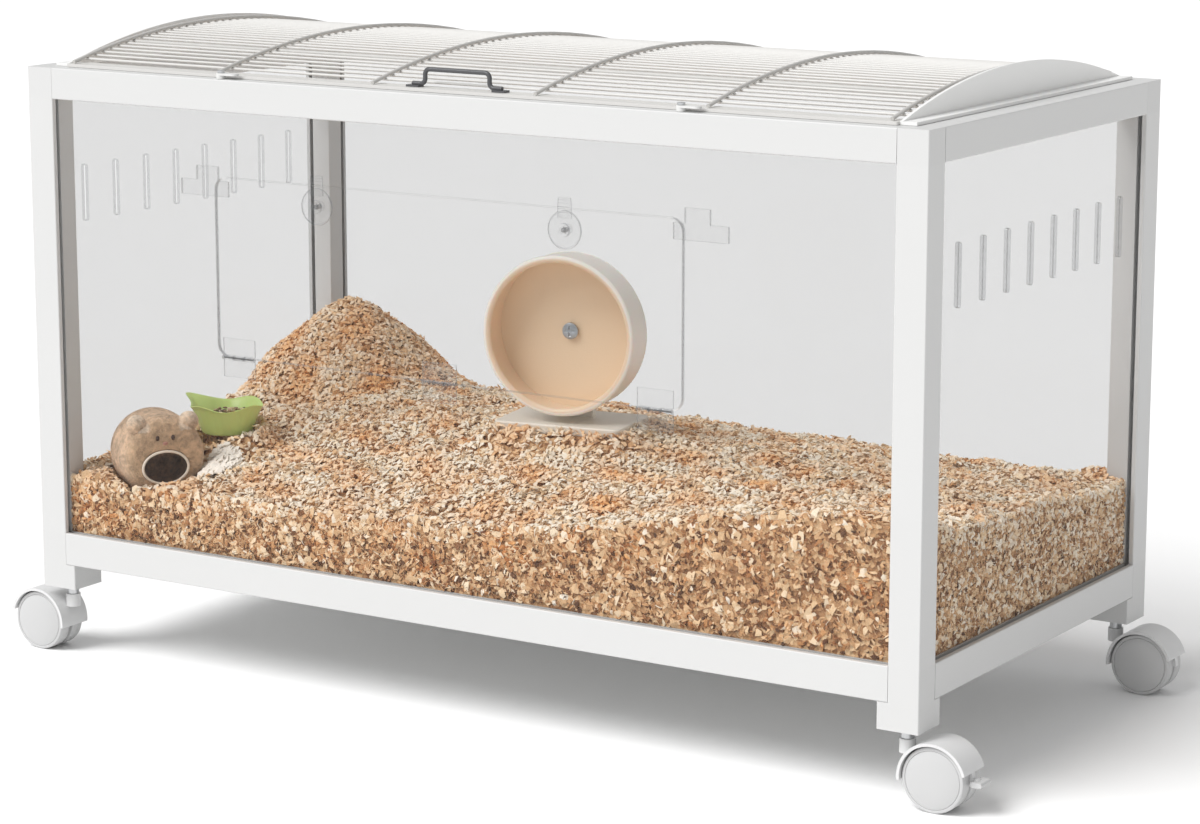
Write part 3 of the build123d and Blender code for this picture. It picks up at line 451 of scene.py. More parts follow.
# one wheel's section, from the middle of its inner face to the middle of its outer one
wheel_section = (
    (0.0, 0.0),
    (0.0283, 0.0),
    (0.0295, 0.0005),
    (0.0300, 0.0018),
    (0.0300, 0.0128),
    (0.0296, 0.0140),
    (0.0286, 0.0145),
    (0.0272, 0.0145),
    (0.0267, 0.0138),
    (0.0262, 0.0145),
    (0.0225, 0.0157),
    (0.0175, 0.0166),
    (0.0120, 0.0172),
    (0.0060, 0.0175),
    (0.0, 0.0175),
)
wheel_shape = turn_profile("wheel_shape", wheel_section, 96, on_axis=True)
facing_back = Matrix.Rotation(-math.pi / 2, 4, "X")
for corner in corner_names:
    wheels_low, wheels_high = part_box(corner + "_caster_wheels")
    hub = Matrix.Translation((wheels_low + wheels_high) / 2)
    outwards = Matrix.Translation((0, 0, wheel_half_gap))
    near = copy_piece(wheel_shape, corner + "_near", hub @ facing_front @ outwards)
    far = copy_piece(wheel_shape, corner + "_far", hub @ facing_back @ outwards)
    pair = join_pieces(corner + "_domed_wheels", near, far)
    pair.data.materials.append(wheel_nylon)
    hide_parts(corner + "_caster_wheels")
    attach(pair, corner + "_wheels")
bpy.data.objects.remove(wheel_shape)

# ======== bedding ========
# Loose wood shavings, heaped in the back left corner and lowest at the front left. A core
# gives the heap its shape, drawn in darker tones as painted shade between the shavings.
# Coarse curled flakes press against the clear panels, and finer shavings cover the top.

bed_low, bed_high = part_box("bedding")
post_low, post_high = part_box("back_left_post")
post_x = -post_high.x
post_y = post_low.y
hut_low, hut_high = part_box("hideout_hut")
bowl_low, bowl_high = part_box("food_bowl")
base_low, base_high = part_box("wheel_base")
hut_middle = (hut_low + hut_high) / 2
base_middle = (base_low + base_high) / 2
bowl_foot = Vector((bowl_high.x - 0.037, (bowl_low.y + bowl_high.y) / 2, bowl_low.z))

bed_random = np.random.default_rng(11)
# heights of the top, along the cage, at four depths from the front panel to the back one
heap_x = (-0.49, -0.39, -0.30, -0.18, -0.06, 0.02, 0.12, 0.23, 0.33, 0.43, 0.49)
heap_y = (-0.234, -0.143, 0.007, 0.140, 0.234)
heap_z = (
    (0.188, 0.182, 0.183, 0.183, 0.186, 0.189, 0.205, 0.225, 0.244, 0.258, 0.258),
    (0.192, 0.186, 0.198, 0.207, 0.214, 0.220, 0.226, 0.233, 0.238, 0.236, 0.231),
    (0.212, 0.215, 0.224, 0.238, 0.243, 0.244, 0.241, 0.240, 0.236, 0.232, 0.226),
    (0.224, 0.226, 0.228, 0.232, 0.232, 0.230, 0.226, 0.224, 0.221, 0.218, 0.216),
    (0.226, 0.224, 0.221, 0.219, 0.215, 0.212, 0.210, 0.208, 0.207, 0.210, 0.212),
)
peak_x = -0.418
peak_y = 0.180
peak_z = 0.312
peak_slope = 0.86
peak_rounding = 0.022
turned_hut = math.radians(55)
turned_base = math.radians(10)
hut_half_length = 0.040
hut_half_width = 0.040
base_half_length = 0.068
base_half_depth = 0.043
bowl_bank_radius = 0.038
waves_height = 0.0035
waves_pitch = 0.11
ripples_height = 0.0022
ripples_pitch = 0.035
base_sink = 0.0075
bank_rise = 0.021
bank_width = 0.013


def soft_bumps(x, y, pitch, seed):
    """Smooth random waves of about this pitch, between -1 and 1."""
    waves = np.random.default_rng(seed)
    total = np.zeros_like(x)
    for _ in range(9):
        way = waves.uniform(0, math.tau)
        turn = math.tau / (pitch * waves.uniform(0.7, 1.5))
        total += np.sin((x * math.cos(way) + y * math.sin(way)) * turn + waves.uniform(0, math.tau))
    return total / 4.5


def turned_axes(x, y, middle, turn):
    """How far a point is from the middle, along and across a turned rectangle in plan."""
    along = (x - middle.x) * math.cos(turn) + (y - middle.y) * math.sin(turn)
    across = (y - middle.y) * math.cos(turn) - (x - middle.x) * math.sin(turn)
    return along, across


def within(x, y, middle, turn, half_length, half_depth):
    """Where a point lies inside a turned rectangle in plan."""
    along, across = turned_axes(x, y, middle, turn)
    return (abs(along) < half_length) & (abs(across) < half_depth)


def heap_height(x, y):
    """The height of the bedding's top at each point in plan."""
    rows = np.array([np.interp(x, heap_x, row) for row in heap_z])
    height = np.zeros_like(x)
    for near in range(len(heap_y) - 1):
        part = np.clip((y - heap_y[near]) / (heap_y[near + 1] - heap_y[near]), 0, 1)
        inside = (y >= heap_y[near]) & (y <= heap_y[near + 1])
        height = np.where(inside, rows[near] * (1 - part) + rows[near + 1] * part, height)
    waves = waves_height * soft_bumps(x, y, waves_pitch, 3)
    height += waves + ripples_height * soft_bumps(x, y, ripples_pitch, 5)
    away = np.sqrt((x - peak_x) ** 2 + (y - peak_y) ** 2 + peak_rounding**2) - peak_rounding
    away *= 1 + 0.06 * soft_bumps(x, y, 0.09, 8)
    cone = peak_z - peak_slope * away
    blend = np.clip(0.5 + (cone - height) / 0.03, 0, 1)
    height = height * (1 - blend) + cone * blend + 0.0075 * blend * (1 - blend) * 2
    # the shavings bank up round the bowl's foot and the edges of the wheel's base
    bowl_gap = np.hypot(x - bowl_foot.x, y - bowl_foot.y) - bowl_bank_radius
    height += bank_rise * np.exp(-((bowl_gap / bank_width) ** 2))
    along, across = turned_axes(x, y, base_middle, turned_base)
    outside_x = np.maximum(abs(along) - base_half_length, 0)
    outside_y = np.maximum(abs(across) - base_half_depth, 0)
    base_gap = np.hypot(outside_x, outside_y)
    base_bank = np.maximum(base_low.z + base_sink - height, 0)
    height += base_bank * np.exp(-((base_gap / (1.6 * bank_width)) ** 2))
    under_hut = within(x, y, hut_middle, turned_hut, hut_half_width, hut_half_length)
    height = np.where(under_hut, np.minimum(height, hut_low.z - 0.001), height)
    near_bowl = np.hypot(x - bowl_foot.x, y - bowl_foot.y) < 0.027
    height = np.where(near_bowl, np.minimum(height, bowl_foot.z - 0.001), height)
    under_base = within(x, y, base_middle, turned_base, base_half_length, base_half_depth)
    return np.where(under_base, np.minimum(height, base_low.z - 0.0005), height)


# the colours of the shavings, from near-black, used for painted shade in the gaps and for the
# darkest flakes, through dark heartwood to pale sapwood
wood_tones = (
    (0.00, (0.110, 0.050, 0.022)),
    (0.18, (0.310, 0.145, 0.062)),
    (0.42, (0.640, 0.370, 0.180)),
    (0.66, (0.880, 0.630, 0.380)),
    (0.86, (0.990, 0.832, 0.622)),
    (1.00, (0.995, 0.900, 0.762)),
)


def add_ramp(tree, factor, tones):
    """A colour ramp through these (place, colour) tones."""
    ramp = add_node(tree, "ShaderNodeValToRGB", {"Fac": factor})
    while len(ramp.color_ramp.elements) < len(tones):
        ramp.color_ramp.elements.new(0.5)
    for element, (place, colour) in zip(ramp.color_ramp.elements, tones):
        element.position = place
        element.color = (*colour, 1)
    return ramp.outputs["Color"]


core_wood, tree, shader = start_material("core_shavings_painted_shade", Roughness=0.85)
where = add_node(tree, "ShaderNodeTexCoord").outputs["Object"]
cells = add_node(
    tree, "ShaderNodeTexVoronoi", {"Vector": where, "Scale": 210.0, "Randomness": 1.0}
)
cell_tone = add_node(
    tree, "ShaderNodeSeparateXYZ", {"Vector": cells.outputs["Color"]}
).outputs["X"]
# the core takes the ramp's darker half: painted shade in the gaps between the shavings
gap_shade_tone = add_node(
    tree, "ShaderNodeMapRange", {"Value": cell_tone, "To Min": 0.10, "To Max": 0.62}
).outputs["Result"]
tree.links.new(add_ramp(tree, gap_shade_tone, wood_tones), shader.inputs["Base Color"])
cell_bump = add_node(
    tree, "ShaderNodeBump", {"Height": cells.outputs["Distance"], "Distance": 0.003}
)
tree.links.new(cell_bump.outputs["Normal"], shader.inputs["Normal"])

core_pitch = 0.004
core_sink = 0.0035
bed_length = bed_high.x - bed_low.x
bed_depth = bed_high.y - bed_low.y
bpy.ops.object.select_all(action="DESELECT")
bpy.ops.mesh.primitive_grid_add(
    x_subdivisions=round(bed_length / core_pitch),
    y_subdivisions=round(bed_depth / core_pitch),
    size=1,
)
core = bpy.context.object
core.name = "bedding_core"
points = np.zeros(len(core.data.vertices) * 3)
core.data.vertices.foreach_get("co", points)
points = points.reshape(-1, 3)
wall_gap = 0.002
points[:, 0] *= bed_length - 2 * wall_gap
points[:, 1] *= bed_depth - 2 * wall_gap
points[:, 2] = heap_height(points[:, 0], points[:, 1]) - core_sink
core.data.vertices.foreach_set("co", points.ravel())
past_x = post_x - wall_gap
past_y = post_y - wall_gap
pick(core, "FACE", lambda face: abs(face.center.x) > past_x and abs(face.center.y) > past_y)
bpy.ops.mesh.delete(type="FACE")
bpy.ops.object.mode_set(mode="OBJECT")
close_below(core, bed_low.z)
core.data.materials.append(core_wood)
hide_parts("bedding")
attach(core, "cage")


def model_flake(name, length, width, thickness, curl, taper, cuts):
    """One flake: a strip curled along its length, narrower at its ends, with a thickness."""
    bpy.ops.object.select_all(action="DESELECT")
    bpy.ops.mesh.primitive_grid_add(x_subdivisions=cuts, y_subdivisions=1, size=1)
    flake = bpy.context.object
    flake.name = name
    for point in flake.data.vertices:
        end = 2 * point.co.x
        point.co.y *= width * (1 - taper * end * end)
        point.co.x *= length
        point.co.z = curl * (0.5 - end * end)
    solidify = flake.modifiers.new("thickness", "SOLIDIFY")
    solidify.thickness = thickness
    solidify.offset = 0
    bpy.ops.object.modifier_apply(modifier=solidify.name)
    return flake


def strew(name, flake, places, faces_way, scale, lean, tones, warmth, material):
    """Strews copies of one flake, each turned and sized its own way, as a single piece.
    faces_way is the way that each copy's flat side looks before it leans over."""
    count = len(places)
    shape = np.array([point.co for point in flake.data.vertices])
    sides = np.array([list(face.vertices) for face in flake.data.polygons])
    looks = faces_way + bed_random.normal(0, lean, (count, 3))
    looks /= np.linalg.norm(looks, axis=1)[:, None]
    along = np.cross(looks, bed_random.normal(size=(count, 3)))
    along /= np.linalg.norm(along, axis=1)[:, None]
    across = np.cross(looks, along)
    stretch = scale[:, None] * bed_random.uniform(0.75, 1.25, (count, 3))
    curl_way = bed_random.choice((-1.0, 1.0), count) * bed_random.uniform(0.4, 1.6, count)
    local = shape[None] * stretch[:, None]
    local[:, :, 2] *= np.abs(curl_way)[:, None]
    twist = bed_random.normal(0, 0.5, count)[:, None] * local[:, :, 1] / flake.dimensions.y
    local[:, :, 2] += twist * local[:, :, 0] * 0.5
    points = (
        local[:, :, 0:1] * along[:, None]
        + local[:, :, 1:2] * across[:, None]
        + local[:, :, 2:3] * looks[:, None]
        + places[:, None]
    )
    # a copy that reaches past a panel or the floor is pushed back in whole
    room_high = (bed_high.x, bed_high.y, peak_z + 0.02)
    for axis in range(3):
        reach = points[:, :, axis]
        points[:, :, axis] -= np.maximum(reach.max(axis=1) - room_high[axis], 0)[:, None]
        points[:, :, axis] += np.maximum(bed_low[axis] - reach.min(axis=1), 0)[:, None]
    corners = (sides[None] + len(shape) * np.arange(count)[:, None, None]).reshape(-1, 4)
    mesh = bpy.data.meshes.new(name)
    mesh.from_pydata(points.reshape(-1, 3), [], corners)
    for attribute, values in (("tone", tones), ("warmth", warmth)):
        layer = mesh.attributes.new(attribute, "FLOAT", "POINT")
        layer.data.foreach_set("value", np.repeat(values, len(shape)).astype(np.float32))
    mesh.materials.append(material)
    piece = bpy.data.objects.new(name, mesh)
    bpy.context.scene.collection.objects.link(piece)
    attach(piece, "cage")
    return piece


flake_wood, tree, shader = start_material("wood_flakes", Roughness=0.72)
tone = add_node(tree, "ShaderNodeAttribute", attribute_name="tone").outputs["Fac"]
warmth = add_node(tree, "ShaderNodeAttribute", attribute_name="warmth").outputs["Fac"]
where = add_node(tree, "ShaderNodeTexCoord").outputs["Object"]
streaks = add_node(
    tree, "ShaderNodeTexNoise", {"Vector": where, "Scale": 900.0, "Detail": 3.0}
).outputs["Fac"]
streak_tone = add_node(
    tree, "ShaderNodeMapRange", {"Value": streaks, "To Min": -0.16, "To Max": 0.16}
).outputs["Result"]
mixed_tone = add_node(
    tree, "ShaderNodeMath", {0: tone, 1: streak_tone}, operation="ADD", use_clamp=True
).outputs[0]
colour = add_node(
    tree,
    "ShaderNodeMix",
    {"Factor": warmth},
    data_type="RGBA",
    blend_type="MULTIPLY",
)
tree.links.new(add_ramp(tree, mixed_tone, wood_tones), colour.inputs[6])
colour.inputs[7].default_value = (0.96, 0.68, 0.43, 1)
tree.links.new(colour.outputs[2], shader.inputs["Base Color"])
grain_bump = add_node(tree, "ShaderNodeBump", {"Height": streaks, "Distance": 0.0003})
tree.links.new(grain_bump.outputs["Normal"], shader.inputs["Normal"])

coarse_flake = model_flake("coarse_flake", 0.0125, 0.0080, 0.0005, 0.0028, 0.5, 3)
fine_flake = model_flake("fine_flake", 0.0068, 0.0036, 0.0004, 0.0013, 0.5, 2)


def patch_warmth(x, y):
    """Patches of warmer, redder shavings."""
    return np.clip(0.22 + 0.62 * soft_bumps(x, y, 0.07, 21), 0, 1)


# how many coarse flakes and fine shavings show through each panel, the way it faces, and
# how warm and how much paler its shavings are drawn. These per-side shifts are painted
# light and shade: the right side is paler and greyer, as in the shade behind its panel.
wall_flakes = {
    "front": (2900, 9500, Vector((0, -1, 0)), 0.9, -0.03),
    "back": (2200, 5500, Vector((0, 1, 0)), 1.0, 0.0),
    "right": (1800, 6500, Vector((1, 0, 0)), 0.05, 0.24),
    "left": (1400, 4200, Vector((-1, 0, 0)), 0.5, 0.1),
}
wall_layer = 0.006
wall_lean = 0.6
top_lean = 0.42
shade_depth = 14
for side, (coarse_count, fine_count, way, painted_side_warmth, painted_side_tone) in wall_flakes.items():
    for grade, flake, count in (
        ("coarse", coarse_flake, coarse_count),
        ("fine", fine_flake, fine_count),
    ):
        spread = bed_random.uniform(-1, 1, count)
        inward = bed_random.uniform(0.0006, wall_layer, count)
        if way.x:
            x = np.sign(way.x) * (bed_high.x - inward)
            y = spread * (post_y - 0.001)
        else:
            x = spread * (post_x - 0.001)
            y = np.sign(way.y) * (bed_high.y - inward)
        top = heap_height(x, y)
        z = bed_low.z + 0.002 + bed_random.uniform(0, 1, count) * (top - bed_low.z - 0.002)
        near_top = np.clip(1 - (top - z) / 0.018, 0, 1)
        if grade == "coarse":
            tones = painted_side_tone + 0.66 + 0.16 * bed_random.normal(size=count) + 0.12 * near_top
            warm = 0.25 * patch_warmth(x + y, z)
            size = bed_random.uniform(0.45, 1.2, count) * (0.75 if way.x else 1.0)
        else:
            tones = painted_side_tone + 0.34 + 0.27 * bed_random.normal(size=count) + 0.36 * near_top
            warm = (0.25 + 0.9 * patch_warmth(x + y, z)) * painted_side_warmth
            size = bed_random.uniform(0.6, 1.3, count)
        strew(
            f"{grade}_shavings_at_{side}",
            flake,
            np.column_stack((x, y, z)),
            np.array(way),
            size,
            wall_lean,
            np.clip(tones - shade_depth * np.maximum(inward - wall_layer / 2, 0), 0, 1),
            np.clip(warm, 0, 1),
            flake_wood,
        )

top_count = 40000
top_pieces = 6
edge_gap = 0.003
x = bed_random.uniform(bed_low.x + edge_gap, bed_high.x - edge_gap, top_count)
y = bed_random.uniform(bed_low.y + edge_gap, bed_high.y - edge_gap, top_count)
# the steep mound has more surface for its plan, so it takes more shavings
mound_count = 10000
mound_spread = 0.13
x = np.append(x, peak_x + bed_random.uniform(-mound_spread, mound_spread, mound_count))
y = np.append(y, peak_y + bed_random.uniform(-mound_spread, mound_spread, mound_count))
x = np.clip(x, bed_low.x + edge_gap, bed_high.x - edge_gap)
y = np.clip(y, bed_low.y + edge_gap, bed_high.y - edge_gap)
at_post = (abs(x) > post_x - 0.003) & (abs(y) > post_y - 0.003)
at_hut = within(x, y, hut_middle, turned_hut, hut_half_width + 0.002, hut_half_length + 0.002)
at_bowl = np.hypot(x - bowl_foot.x, y - bowl_foot.y) < 0.031
at_base = within(x, y, base_middle, turned_base, base_half_length, base_half_depth)
clear = ~(at_post | at_hut | at_bowl | at_base)
x = x[clear]
y = y[clear]
reach = 0.002
slope_x = (heap_height(x + reach, y) - heap_height(x - reach, y)) / (2 * reach)
slope_y = (heap_height(x, y + reach) - heap_height(x, y - reach)) / (2 * reach)
lift = bed_random.uniform(-0.0034, 0.0024, len(x))
on_mound = np.hypot(x - peak_x, y - peak_y) < mound_spread
lift *= np.where(on_mound, 1.5, 1.0)
places = np.column_stack((x, y, heap_height(x, y) + lift))
looks = np.column_stack((-slope_x, -slope_y, np.ones_like(x)))
looks /= np.linalg.norm(looks, axis=1)[:, None]
pale = 0.93 + 0.20 * bed_random.normal(size=len(x)) + 0.09 * soft_bumps(x, y, 0.045, 31)
tones = np.clip(pale + shade_depth * np.minimum(lift, 0) - np.where(on_mound, 0.08, 0.0), 0, 1)
warm = np.clip(patch_warmth(x, y) + np.where(on_mound, 0.22, 0.0), 0, 1)
size = bed_random.uniform(0.6, 1.3, len(x))
for number in range(top_pieces):
    mine = slice(number, None, top_pieces)
    strew(
        f"shavings_on_top_{number + 1}",
        fine_flake,
        places[mine],
        looks[mine],
        size[mine],
        top_lean,
        tones[mine],
        warm[mine],
        flake_wood,
    )

# a handful of pale paper strips beside the hut, for nesting
nest_paper = make_coat("nest_paper", (0.97, 0.90, 0.81), 0.85, 1200, 0.0001, 0.08)
nest_middle = Vector((-0.344, -0.150))
nest_reach = (0.019, 0.026)
nest_rise = 0.011
nest_count = 420
turn = bed_random.uniform(0, math.tau, nest_count)
away = np.sqrt(bed_random.uniform(0, 1, nest_count))
x = nest_middle.x + nest_reach[0] * away * np.cos(turn)
y = nest_middle.y + nest_reach[1] * away * np.sin(turn)
heaped = nest_rise * (1 - away) * bed_random.uniform(0.2, 1, nest_count)
strew(
    "nesting_paper",
    coarse_flake,
    np.column_stack((x, y, heap_height(x, y) + 0.002 + heaped)),
    np.array((-0.15, -0.5, 0.85)),
    bed_random.uniform(0.5, 0.9, nest_count),
    0.2,
    np.ones(nest_count),
    np.zeros(nest_count),
    nest_paper,
)
for flake in (coarse_flake, fine_flake):
    bpy.data.objects.remove(flake)

# ======== exercise wheel ========
# A ribbed cream drum with a rounded lip, tan inside, on a tan back disc. It turns on a
# cross-head screw in a cream stand and base.

disc_board = make_coat("tan_disc", (0.91, 0.71, 0.50), 0.6, 300, 0.00015, 0.12)
cream_plastic = make_coat("cream_plastic", (0.88, 0.81, 0.71), 0.4, 900, 0.00003, 0.04)
coat_nodes(disc_board, "wheel_back_disc")
coat_nodes(cream_plastic, "wheel_stand", "wheel_base")

drum_depth = 0.040
drum_inside = 0.076
drum_sides = 240
rib_rise = 0.0005
rib_start = -0.0065
# the drum's section, from the back edge along the inside to the lip and back outside
drum_section = (
    (drum_inside, 0.0001 - drum_depth),
    (drum_inside, -0.0072),
    (0.0742, -0.0068),
    (0.0728, -0.0056),
    (0.0722, -0.0038),
    (0.0727, -0.0020),
    (0.0740, -0.0006),
    (0.0757, 0.0),
    (0.0775, -0.0001),
    (0.0788, -0.0006),
    (0.0797, -0.0017),
    (0.0800, -0.0031),
    (0.0797, -0.0046),
    (0.0788, -0.0057),
    (0.0782, rib_start),
    (0.0782, 0.0010 - drum_depth),
    (0.0786, 0.0006 - drum_depth),
    (0.0786, -drum_depth),
)
drum = turn_profile("ribbed_drum", drum_section, drum_sides)
inner_wall = drum.data.attributes.new("inner_wall", "FLOAT", "POINT")
for point in drum.data.vertices:
    radius = math.hypot(point.co.x, point.co.y)
    inner_wall.data[point.index].value = float(radius < drum_inside + 1e-4)
    outside = radius > 0.078 and point.co.z < rib_start + 1e-4
    if outside:
        step = round(math.atan2(point.co.y, point.co.x) / math.tau * drum_sides)
        lifted = 1 + rib_rise * (step % 2) / radius
        point.co.x *= lifted
        point.co.y *= lifted

drum_plastic = make_coat(
    "drum_plastic", (0.97, 0.92, 0.85), 0.36, 700, 0.00003, 0.06, IOR=1.46,
    Subsurface_Weight=0.25, Subsurface_Scale=0.004,
)
tree = drum_plastic.node_tree
inner_share = add_node(tree, "ShaderNodeAttribute", attribute_name="inner_wall").outputs["Fac"]
wall_tint = add_node(tree, "ShaderNodeMix", {"Factor": inner_share}, data_type="RGBA")
wall_tint.inputs[6].default_value = (0.97, 0.92, 0.85, 1)
wall_tint.inputs[7].default_value = (0.88, 0.70, 0.52, 1)
tree.links.new(wall_tint.outputs[2], tree.nodes["Group"].inputs["Colour"])
drum_low, drum_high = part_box("wheel_drum")
drum_way = Vector((math.sin(turned_base), -math.cos(turned_base), 0))
drum_right = Vector((math.cos(turned_base), math.sin(turned_base), 0))
drum_axes = Matrix((drum_right, Vector((0, 0, 1)), drum_way)).transposed().to_4x4()
drum_middle = (drum_low + drum_high) / 2
lip_rest = drum_middle + drum_way * (drum_depth / 2)
drum_place = Matrix.Translation(lip_rest) @ drum_axes
drum.data.transform(drum_place)
drum.data.materials.append(drum_plastic)
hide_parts("wheel_drum")
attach(drum, "exercise_wheel")

# the screw's domed head, pressed in along a cross
head_radius = 0.0082
head_rise = 0.0024
head_start = 0.0338
cross_width = 0.0011
cross_reach = 0.0050
cross_depth = 0.0013
head_rings = 22
head_section = [(0.0, 0.0), (head_radius, 0.0)]
for ring in range(head_rings + 1):
    away = head_radius * (1 - ring / head_rings)
    head_section.append((away, head_rise * (1 - 0.55 * (away / head_radius) ** 2.4)))
screw = turn_profile("cross_head", head_section, 96, on_axis=True)
for point in screw.data.vertices:
    flat_x = abs(point.co.x)
    flat_y = abs(point.co.y)
    on_cross = min(flat_x, flat_y) < cross_width and max(flat_x, flat_y) < cross_reach
    if on_cross and point.co.z > head_rise / 3:
        point.co.z -= cross_depth
screw.data.transform(drum_place @ Matrix.Translation((0, 0, -head_start)))
screw_steel = make_coat(
    "screw_steel", (0.42, 0.45, 0.48), 0.34, 1800, 0.00003, 0.2, Metallic=0.85
)
screw.data.materials.append(screw_steel)
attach(screw, "cage")

# ======== hideout hut ========
# A small padded plush hut with round ears and a stitched face. A piped oval doorway leads
# to the hollow inside. It only rests on the bedding.

hut_face_way = Vector((math.sin(turned_hut), -math.cos(turned_hut), 0))
hut_right = Vector((math.cos(turned_hut), math.sin(turned_hut), 0))
hut_length = 0.078
hut_axis_rise = 0.040
ear_spread = 0.026
ear_rise = 0.032
door_drop = 0.009
door_half_width = 0.0235
door_half_height = 0.0165
hut_hub = Vector((hut_middle.x, hut_middle.y, hut_low.z + hut_axis_rise))
hut_axes = Matrix((hut_right, Vector((0, 0, 1)), hut_face_way)).transposed().to_4x4()
hut_place = Matrix.Translation(hut_hub) @ hut_axes
from_frame = hut_place.inverted()

hut = bpy.data.objects.new("plush_hut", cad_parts["hideout_hut"].data.copy())
bpy.context.scene.collection.objects.link(hut)
bpy.ops.object.select_all(action="DESELECT")
hut.select_set(True)
pick(hut, "FACE", lambda face: True)
bpy.ops.mesh.remove_doubles(threshold=1e-6)
bpy.ops.object.mode_set(mode="OBJECT")
remesh = hut.modifiers.new("even_mesh", "REMESH")
remesh.mode = "VOXEL"
remesh.voxel_size = 0.0024
bpy.ops.object.modifier_apply(modifier=remesh.name)
rounding = hut.modifiers.new("rounding", "SMOOTH")
rounding.factor = 0.5
rounding.iterations = 10
bpy.ops.object.modifier_apply(modifier=rounding.name)

stuffing_steps = 20
most_swelling = 0.0035
flat_points = np.zeros(len(hut.data.vertices) * 3)
hut.data.vertices.foreach_get("co", flat_points)
stuffing = hut.modifiers.new("stuffing", "CLOTH")
stuffing.settings.use_pressure = True
stuffing.settings.uniform_pressure_force = 4
stuffing.settings.effector_weights.gravity = 0
stuffing.point_cache.frame_end = stuffing_steps
for step in range(1, stuffing_steps + 1):
    bpy.context.scene.frame_set(step)
bpy.ops.object.modifier_apply(modifier=stuffing.name)
bpy.context.scene.frame_set(1)
swollen = np.zeros(len(hut.data.vertices) * 3)
hut.data.vertices.foreach_get("co", swollen)
moved = (swollen - flat_points).reshape(-1, 3)
far = np.linalg.norm(moved, axis=1)[:, None]
moved *= np.minimum(1, most_swelling / np.maximum(far, 1e-9))
hut.data.vertices.foreach_set("co", (flat_points.reshape(-1, 3) + moved).ravel())
finer = hut.modifiers.new("finer", "SUBSURF")
finer.levels = 1
finer.render_levels = 1
bpy.ops.object.modifier_apply(modifier=finer.name)

seam_place = 0.026
seam_half_width = 0.0016
seam_depth = 0.0012
face_share = hut.data.attributes.new("face_share", "FLOAT", "POINT")
ear_share = hut.data.attributes.new("ear_share", "FLOAT", "POINT")
for point in hut.data.vertices:
    local = from_frame @ point.co
    from_axis = math.hypot(local.x, local.y)
    face_share.data[point.index].value = min(1, max(0, (local.z - 0.024) / 0.010))
    from_ear = math.hypot(abs(local.x) - ear_spread, local.y - ear_rise)
    ear_share.data[point.index].value = min(1, max(0, (0.0125 - from_ear) / 0.004)) * (
        local.z > 0.020 and local.y > ear_rise - 0.004
    )
    if from_axis > 0.037 and from_ear > 0.014:
        dip = seam_depth * math.exp(-(((local.z - seam_place) / seam_half_width) ** 2))
        inwards = Vector((local.x, local.y, 0)).normalized() * -dip
        point.co += hut_axes.to_3x3() @ inwards
hut.data.update()
bpy.context.view_layer.update()
bpy.ops.object.shade_smooth()

plush, tree, shader = start_material("beige_plush", Roughness=0.92)
shader.inputs["Sheen Weight"].default_value = 0.15
shader.inputs["Sheen Roughness"].default_value = 0.5
where = add_node(tree, "ShaderNodeTexCoord").outputs["Object"]
tufts = add_node(
    tree,
    "ShaderNodeTexNoise",
    {"Vector": where, "Scale": 300.0, "Detail": 4.0, "Roughness": 0.75},
).outputs["Fac"]
brushed = add_node(
    tree, "ShaderNodeTexNoise", {"Vector": where, "Scale": 95.0, "Detail": 4.0}
).outputs["Fac"]
face_part = add_node(tree, "ShaderNodeAttribute", attribute_name="face_share").outputs["Fac"]
ear_part = add_node(tree, "ShaderNodeAttribute", attribute_name="ear_share").outputs["Fac"]
body_tint = add_node(tree, "ShaderNodeMix", {"Factor": face_part}, data_type="RGBA")
body_tint.inputs[6].default_value = (0.80, 0.55, 0.36, 1)
body_tint.inputs[7].default_value = (0.70, 0.47, 0.29, 1)
ear_tint = add_node(tree, "ShaderNodeMix", {"Factor": ear_part}, data_type="RGBA")
tree.links.new(body_tint.outputs[2], ear_tint.inputs[6])
ear_tint.inputs[7].default_value = (0.92, 0.72, 0.54, 1)
both = add_node(tree, "ShaderNodeMath", {0: tufts, 1: brushed}, operation="ADD").outputs[0]
level = add_node(
    tree,
    "ShaderNodeMapRange",
    {"Value": both, "From Min": 0.75, "From Max": 1.25, "To Min": 0.62, "To Max": 1.34},
).outputs["Result"]
shaded = add_node(
    tree,
    "ShaderNodeVectorMath",
    {0: ear_tint.outputs[2], "Scale": level},
    operation="SCALE",
).outputs["Vector"]
tree.links.new(shaded, shader.inputs["Base Color"])
tuft_bump = add_node(tree, "ShaderNodeBump", {"Height": tufts, "Distance": 0.004})
tree.links.new(tuft_bump.outputs["Normal"], shader.inputs["Normal"])
hut.data.materials.clear()
hut.data.materials.append(plush)
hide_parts("hideout_hut")
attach(hut, "cage")

# the piping round the doorway, and the face above it, all laid on the plush
piping_radius = 0.0014
piping_section = [
    (
        door_half_width + piping_radius * math.cos(math.tau * part / 10),
        piping_radius * math.sin(math.tau * part / 10),
    )
    for part in range(10)
]
piping = turn_profile("doorway_piping", piping_section, 96)
squeeze = door_half_height / door_half_width


def find_hut_face(x, y):
    """The point of the plush in front of (x, y) of the hut's axis, and the way it looks."""
    start = hut_place @ Vector((x, y, hut_length))
    hit, spot, way, _ = hut.ray_cast(start, -hut_face_way)
    return (spot, way) if hit else (hut_place @ Vector((x, y, hut_length / 2)), hut_face_way)


